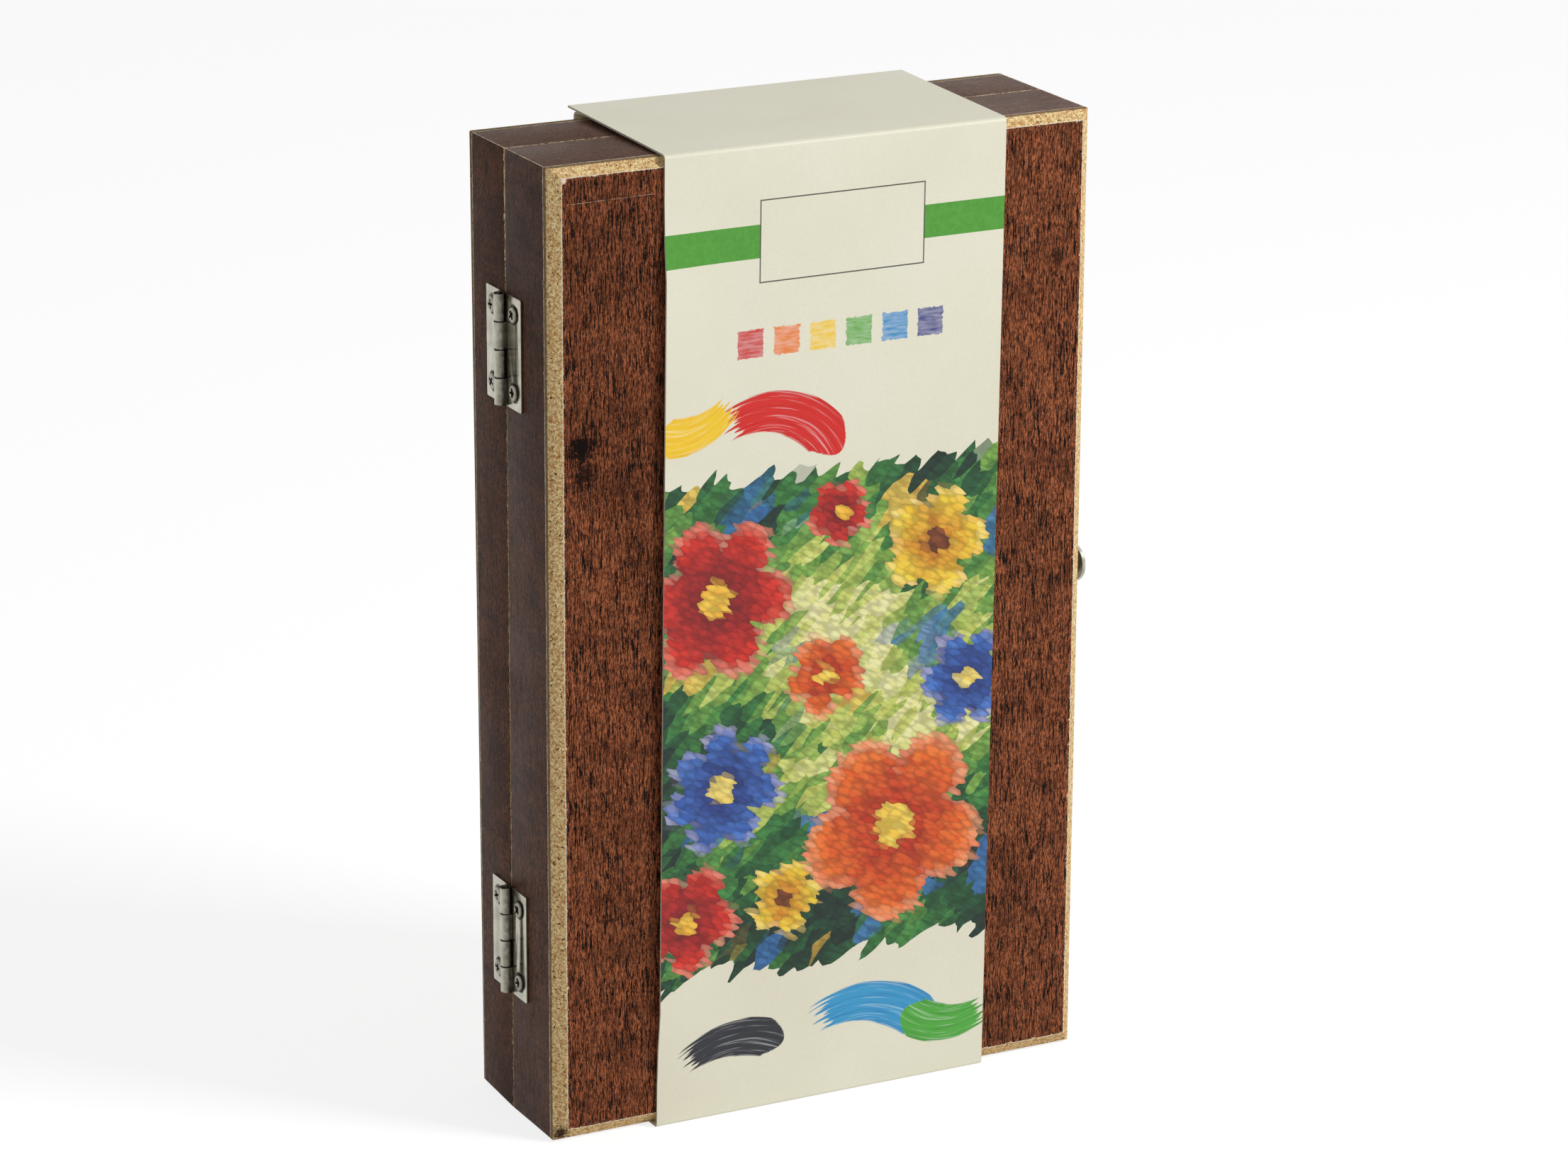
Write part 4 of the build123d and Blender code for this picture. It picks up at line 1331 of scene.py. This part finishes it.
@shader_group("dabbed", vector=origin, length=4 * mm, width=1.5 * mm, turn=0.5)
def dabbed(vector, length, width, turn):
    """Each dab is one cell of a stretched, turned pattern, with one shade and one place."""
    shrink = combined(divide(1.0, length), 0.0, divide(1.0, width))
    cells = vector_maths("MULTIPLY", turned_about_y(vector, turn), shrink)[0]
    drift = node("TexNoise", {"Vector": cells, "Scale": 0.7, "Detail": 1.0})["Color"]
    wandering = vector_maths("MULTIPLY_ADD", drift, (0.9, 0.0, 0.9), cells)[0]
    cell = node("TexVoronoi", {"Vector": wandering, "Scale": 1.0})
    centred = vector_maths("MULTIPLY", cell["Position"], combined(length, 0.0, width))[0]
    return {
        "shade": separate(cell["Color"])["X"],
        "rim": cell["Distance"],
        "place": turned_about_y(centred, multiply(turn, -1.0)),
    }


@shader_group("polar place", vector=origin, centre=origin)
def polar(vector, centre):
    """How far a place on the front panel lies from a centre, and at what angle."""
    offset = vector_maths("SUBTRACT", vector, centre)[0]
    flat = separate(vector_maths("MULTIPLY", offset, (1, 0, 1))[0])
    squared = multiply_add(flat["X"], flat["X"], multiply(flat["Z"], flat["Z"]))
    return {"radius": maths("SQRT", squared), "angle": maths("ARCTAN2", flat["Z"], flat["X"])}


petal_tip = srgb(255, 226, 190)
blossom_shape = {"centre": origin, "size": 10 * mm, "petals": 5.0, "turn": 0.0}
blossom_tones = {"petal": black, "shadow": black, "heart": black, "under": black}


@shader_group("blossom", vector=origin, **blossom_shape, **blossom_tones)
def blossom(vector, centre, size, petals, turn, petal, shadow, heart, under):
    """A ring of round petals about a small heart, painted over what lies under it."""
    around = polar(vector, centre)
    swung = multiply_add(around["angle"], multiply(petals, 0.5), turn)
    lobe = maths("POWER", absolute(maths("COSINE", swung)), 0.5)
    out = divide(around["radius"], multiply(size, multiply_add(lobe, 0.42, 0.58)))
    light = multiply(remap(out, 0.15, 0.85), remap(lobe, 0.35, 0.9, 0.35, 1.0))
    lit = mixed(light, shadow, petal)
    tipped = mixed(remap(out, 0.82, 1.0, 0.0, 0.35), lit, petal_tip)
    flower = mixed(remap(out, 1.02, 0.98), under, tipped)
    core = remap(divide(around["radius"], size), 0.24, 0.2)
    return {"color": mixed(core, flower, heart)}


stroke_shape = {"radius": 10 * mm, "half_width": 3 * mm, "start": 0.0, "sweep": 2.0}


@shader_group(
    "paint stroke", vector=origin, centre=origin, **stroke_shape, tone=black, under=black
)
def stroke(vector, centre, radius, half_width, start, sweep, tone, under):
    """A stroke of thick paint follows an arc. It starts round, runs dry in streaks, and
    keeps the ridges of the brush."""
    around = polar(vector, centre)
    along = divide(maths("WRAP", subtract(around["angle"], start), 2 * pi, 0.0), sweep)
    aside = divide(subtract(around["radius"], radius), half_width)
    ridge = noise(combined(multiply(aside, 4.0), along, 0.0), 1.6, 3, 0.6)
    swell = maths("SQRT", remap(along, 0.0, 0.16))
    slim = multiply(swell, remap(along, 0.3, 1.0, 1.0, 0.55))
    shaggy = multiply(slim, remap(ridge, 0.3, 0.7, 0.92, 1.06))
    side = remap(subtract(absolute(aside), shaggy), 0.03, -0.03)
    dry = subtract(1.06, multiply(ridge, 0.55))
    wet = multiply(side, remap(subtract(along, dry), 0.01, -0.01))
    shaded = mixed(remap(ridge, 0.5, 0.3, 0.0, 0.6), tone, black, "SOFT_LIGHT")
    shiny = mixed(remap(ridge, 0.55, 0.72, 0.0, 0.55), shaded, white)
    rimmed = mixed(remap(absolute(aside), 0.6, 1.0, 0.0, 0.35), shiny, tone, "MULTIPLY")
    return {"color": mixed(wet, under, rimmed)}


stripe_low = 196.35 * mm
stripe_high = 203.75 * mm
stripe_tones = (srgb(74, 150, 48), srgb(88, 162, 60))
# Rectangles as their left, right, bottom and top.
label = (-18.7 * mm, 21.15 * mm, 190.95 * mm, 209.0 * mm)
picture = (-80 * mm, 80 * mm, 36 * mm, 150 * mm)
label_line = 0.15 * mm
line_colour = srgb(48, 46, 40)
swatch_size = 6.2 * mm
swatch_gap = 2.6 * mm
swatch_low = 174.5 * mm
row_middle = 1.2 * mm
swatch_tones = [(206, 52, 42), (236, 128, 44), (244, 204, 58), (104, 172, 70)]
swatch_tones += [(56, 140, 196), (62, 66, 130)]
clearing_place = (9 * mm, 0.0, 104 * mm)
dab_shadow = (0.02, 0.03, 0.03, 1.0)
foliage = [
    (0.28, srgb(18, 44, 34)),
    (0.42, srgb(32, 84, 48)),
    (0.55, srgb(64, 130, 62)),
    (0.68, srgb(128, 172, 76)),
    (0.8, srgb(206, 214, 110)),
    (0.92, srgb(240, 236, 168)),
]
# The petals' light and shadow, and the heart.
flower_tones = {
    "red": (srgb(222, 52, 38), srgb(120, 18, 28), srgb(250, 196, 70)),
    "orange": (srgb(244, 116, 44), srgb(190, 44, 26), srgb(252, 214, 90)),
    "yellow": (srgb(250, 214, 66), srgb(214, 134, 40), srgb(120, 60, 30)),
    "blue": (srgb(72, 118, 200), srgb(34, 46, 116), srgb(248, 222, 120)),
}
# X, Z and size in millimetres, petals, turn and tones.
flowers = [
    (-27, 121, 19, 6, 0.3, "red"),
    (18, 62, 23, 5, 0.9, "orange"),
    (27, 127, 13, 5, 0.1, "yellow"),
    (-25, 77, 15, 7, 0.6, "blue"),
    (0, 100, 10, 5, 1.1, "orange"),
    (36, 94, 12, 6, 0.0, "blue"),
    (-34, 48, 13, 5, 0.5, "red"),
    (-9, 49, 9, 5, 0.2, "yellow"),
    (3, 137, 8, 5, 0.8, "red"),
]
# X, Z, radius and half width in millimetres, start and sweep in degrees, and tone.
strokes = [
    (-17, 142, 20, 5.4, 25, 110, (216, 40, 34)),
    (-38, 176, 17, 4.4, 250, 80, (246, 204, 46)),
    (8, -4, 25, 5.4, 36, 92, (60, 156, 206)),
    (33, 31, 19, 4.8, 228, 80, (84, 172, 66)),
    (-22, -7, 25, 4.6, 62, 70, (44, 46, 52)),
]

printed_card, colour = card_shader("printed card")
at = here()
spot = separate(at)
straightened = multiply_add(spot["Z"], -band_lean, spot["X"])
sheet = combined(straightened, 0.0, spot["Z"])

in_label = within_rectangle(straightened, spot["Z"], *label)
stripe = compare(spot["Z"], (stripe_low + stripe_high) / 2, (stripe_high - stripe_low) / 2)
green = mixed(remap(noise(at, 700, 3, 0.7), 0.3, 0.7), *stripe_tones)
colour = mixed(multiply(stripe, less_than(in_label, 0.0)), colour, green)
line = compare(in_label, 0.0, label_line)
colour = mixed(multiply(line, 0.9), colour, line_colour)

row_width = len(swatch_tones) * (swatch_size + swatch_gap) - swatch_gap
torn = subtract(noise(sheet, 900, 3, 0.7), 0.5)
laid = multiply(remap(noise(sheet, 1500, 2, stretch=(0.2, 1, 1)), 0.3, 0.7), 0.3)
for index, tone in enumerate(swatch_tones):
    left = row_middle - row_width / 2 + index * (swatch_size + swatch_gap)
    square = (left, left + swatch_size, swatch_low, swatch_low + swatch_size)
    inside = within_rectangle(straightened, spot["Z"], *square)
    ragged = remap(multiply_add(torn, 1.6 * mm, inside), -0.05 * mm, 0.05 * mm)
    colour = mixed(ragged, colour, mixed(laid, srgb(*tone), white))

broad = dabbed(sheet, 6 * mm, 2.2 * mm, 0.7)
small = dabbed(sheet, 2.6 * mm, 1.1 * mm, -0.5)
clearing = remap(polar(broad["place"], clearing_place)["radius"], 6 * mm, 62 * mm, -0.02, -0.48)
level = multiply_add(noise(broad["place"], 30, 3, 0.65), 1.5, clearing)
garden = node("ValToRGB", {0: multiply_add(broad["shade"], 0.24, level)})["Color"]
stops = garden.node.color_ramp.elements
for position, tone in foliage[2:]:
    stops.new(position)
for stop, (position, tone) in zip(stops, foliage):
    stop.position = position
    stop.color = tone
blues = remap(noise(broad["place"], 52, 2), 0.58, 0.63, 0.0, 0.85)
golds = remap(noise(broad["place"], 75, 2, stretch=(1, 1, 1.2)), 0.62, 0.66, 0.0, 0.8)
painting = mixed(golds, mixed(blues, garden, srgb(62, 118, 178)), srgb(246, 204, 92))
for x, z, size, petals, turn, kind in flowers:
    shape = ((x * mm, 0.0, z * mm), size * mm, petals, turn)
    painting = blossom(small["place"], *shape, *flower_tones[kind], painting)
dab_light = multiply_add(small["shade"], 0.5, 0.25)
painting = mixed(0.7, painting, combined(dab_light, dab_light, dab_light), "SOFT_LIGHT")
relief = remap(small["rim"], 0.35, 0.7, 0.0, 0.35)
painting = mixed(relief, painting, dab_shadow, "MULTIPLY")
dab_place = separate(broad["place"])
loose = within_rectangle(dab_place["X"], dab_place["Z"], *picture)
breakup = subtract(noise(broad["place"], 90, 3, 0.7), 0.5)
painted = remap(multiply_add(breakup, 16 * mm, loose), -0.05 * mm, 0.05 * mm)
colour = mixed(painted, colour, painting)
for x, z, radius, half_width, start_angle, sweep, tone in strokes:
    arc = ((x * mm, 0.0, z * mm), radius * mm, half_width * mm)
    turns = (radians(start_angle), radians(sweep))
    colour = stroke(sheet, *arc, *turns, srgb(*tone), colour)
feed(base_color=colour)

band.data.materials.append(plain_card)
band.data.materials.append(cut_edge)
apply_modifier(
    band, "SOLIDIFY", thickness=card, offset=0.0, use_even_offset=True, material_offset_rim=1
)
paint(band, printed_card, lambda at, normal: normal.y < -0.9 and at.y < front_y)
smooth(band, 40)
on_body(band, "belly_band", "band_card", "belly_band")

# Floor, light and camera
# A plain pale table in the soft light of a key lamp, a fill lamp and a white room. The
# camera stands where the box was photographed from.
table_size = 12
pale_share = 0.62
table_lift = 0.45
room_light = 0.3
white_room = 1.0
box_middle = Vector((0, 0, 0.1))


def background_seen():
    """Whether the camera, a gloss or a clear sheet looks at the background."""
    paths = node("LightPath")
    seen = maximum(paths["Is Camera Ray"], paths["Is Glossy Ray"])
    return maximum(seen, paths["Is Transmission Ray"])


choose()
bpy.ops.mesh.primitive_plane_add(size=table_size, location=(0, 0, 0))
table = settled("pale_table")
table.data.materials.append(
    new_material("pale table", base_color=srgb(242, 242, 242), roughness=0.9)
)
plain = open_tree.nodes["Principled BSDF"].outputs[0]
glow = node("Emission", {"Color": white, "Strength": 1.0})[0]
lift = node("Emission", {"Color": white, "Strength": table_lift})[0]
brighter = node("AddShader", {0: plain, 1: lift})[0]
lit = node("MixShader", {0: pale_share, 1: brighter, 2: glow})[0]
both = node("MixShader", {0: background_seen(), 1: plain, 2: lit})[0]
give(open_tree.nodes["Material Output"].inputs["Surface"], both)

world = bpy.data.worlds.new("studio")
bpy.context.scene.world = world
world.use_nodes = True
work_on(world.node_tree)
background = open_tree.nodes["Background"].inputs
give(background["Color"], white)
give(background["Strength"], remap(background_seen(), 0.0, 1.0, room_light, white_room))


def soft_box(name, place, size, watts):
    """A square soft light that faces the middle of the box."""
    data = bpy.data.lights.new(name, "AREA")
    data.size = size
    data.energy = watts
    lamp = bpy.data.objects.new(name, data)
    aim = (box_middle - Vector(place)).to_track_quat("-Z", "Y").to_matrix().to_4x4()
    lamp.matrix_world = Matrix.Translation(place) @ aim
    bpy.context.scene.collection.objects.link(lamp)


soft_box("key", place=(0.97, -1.0, 1.12), size=0.4, watts=18.9)
soft_box("fill", place=(-1.3, -0.7, 0.7), size=0.9, watts=1.5)

camera_place = Vector((-0.54504, -1.05187, 0.48994))
camera_yaw = radians(27.473)
camera_pitch = radians(17.637)
camera_roll = radians(0.319)
camera_lens = 127.95
camera_film = 36
ahead = Vector((sin(camera_yaw), cos(camera_yaw), 0)) * cos(camera_pitch)
ahead.z = -sin(camera_pitch)
level = Vector((cos(camera_yaw), -sin(camera_yaw), 0))
above = level.cross(ahead)
right = level * cos(camera_roll) + above * sin(camera_roll)
up = above * cos(camera_roll) - level * sin(camera_roll)
camera_data = bpy.data.cameras.new("camera")
camera_data.lens = camera_lens
camera_data.sensor_width = camera_film
camera = bpy.data.objects.new("camera", camera_data)
turn = Matrix((right, up, -ahead)).transposed().to_4x4()
camera.matrix_world = Matrix.Translation(camera_place) @ turn
bpy.context.scene.collection.objects.link(camera)
bpy.context.scene.camera = camera
bpy.context.scene.view_settings.view_transform = "Standard"
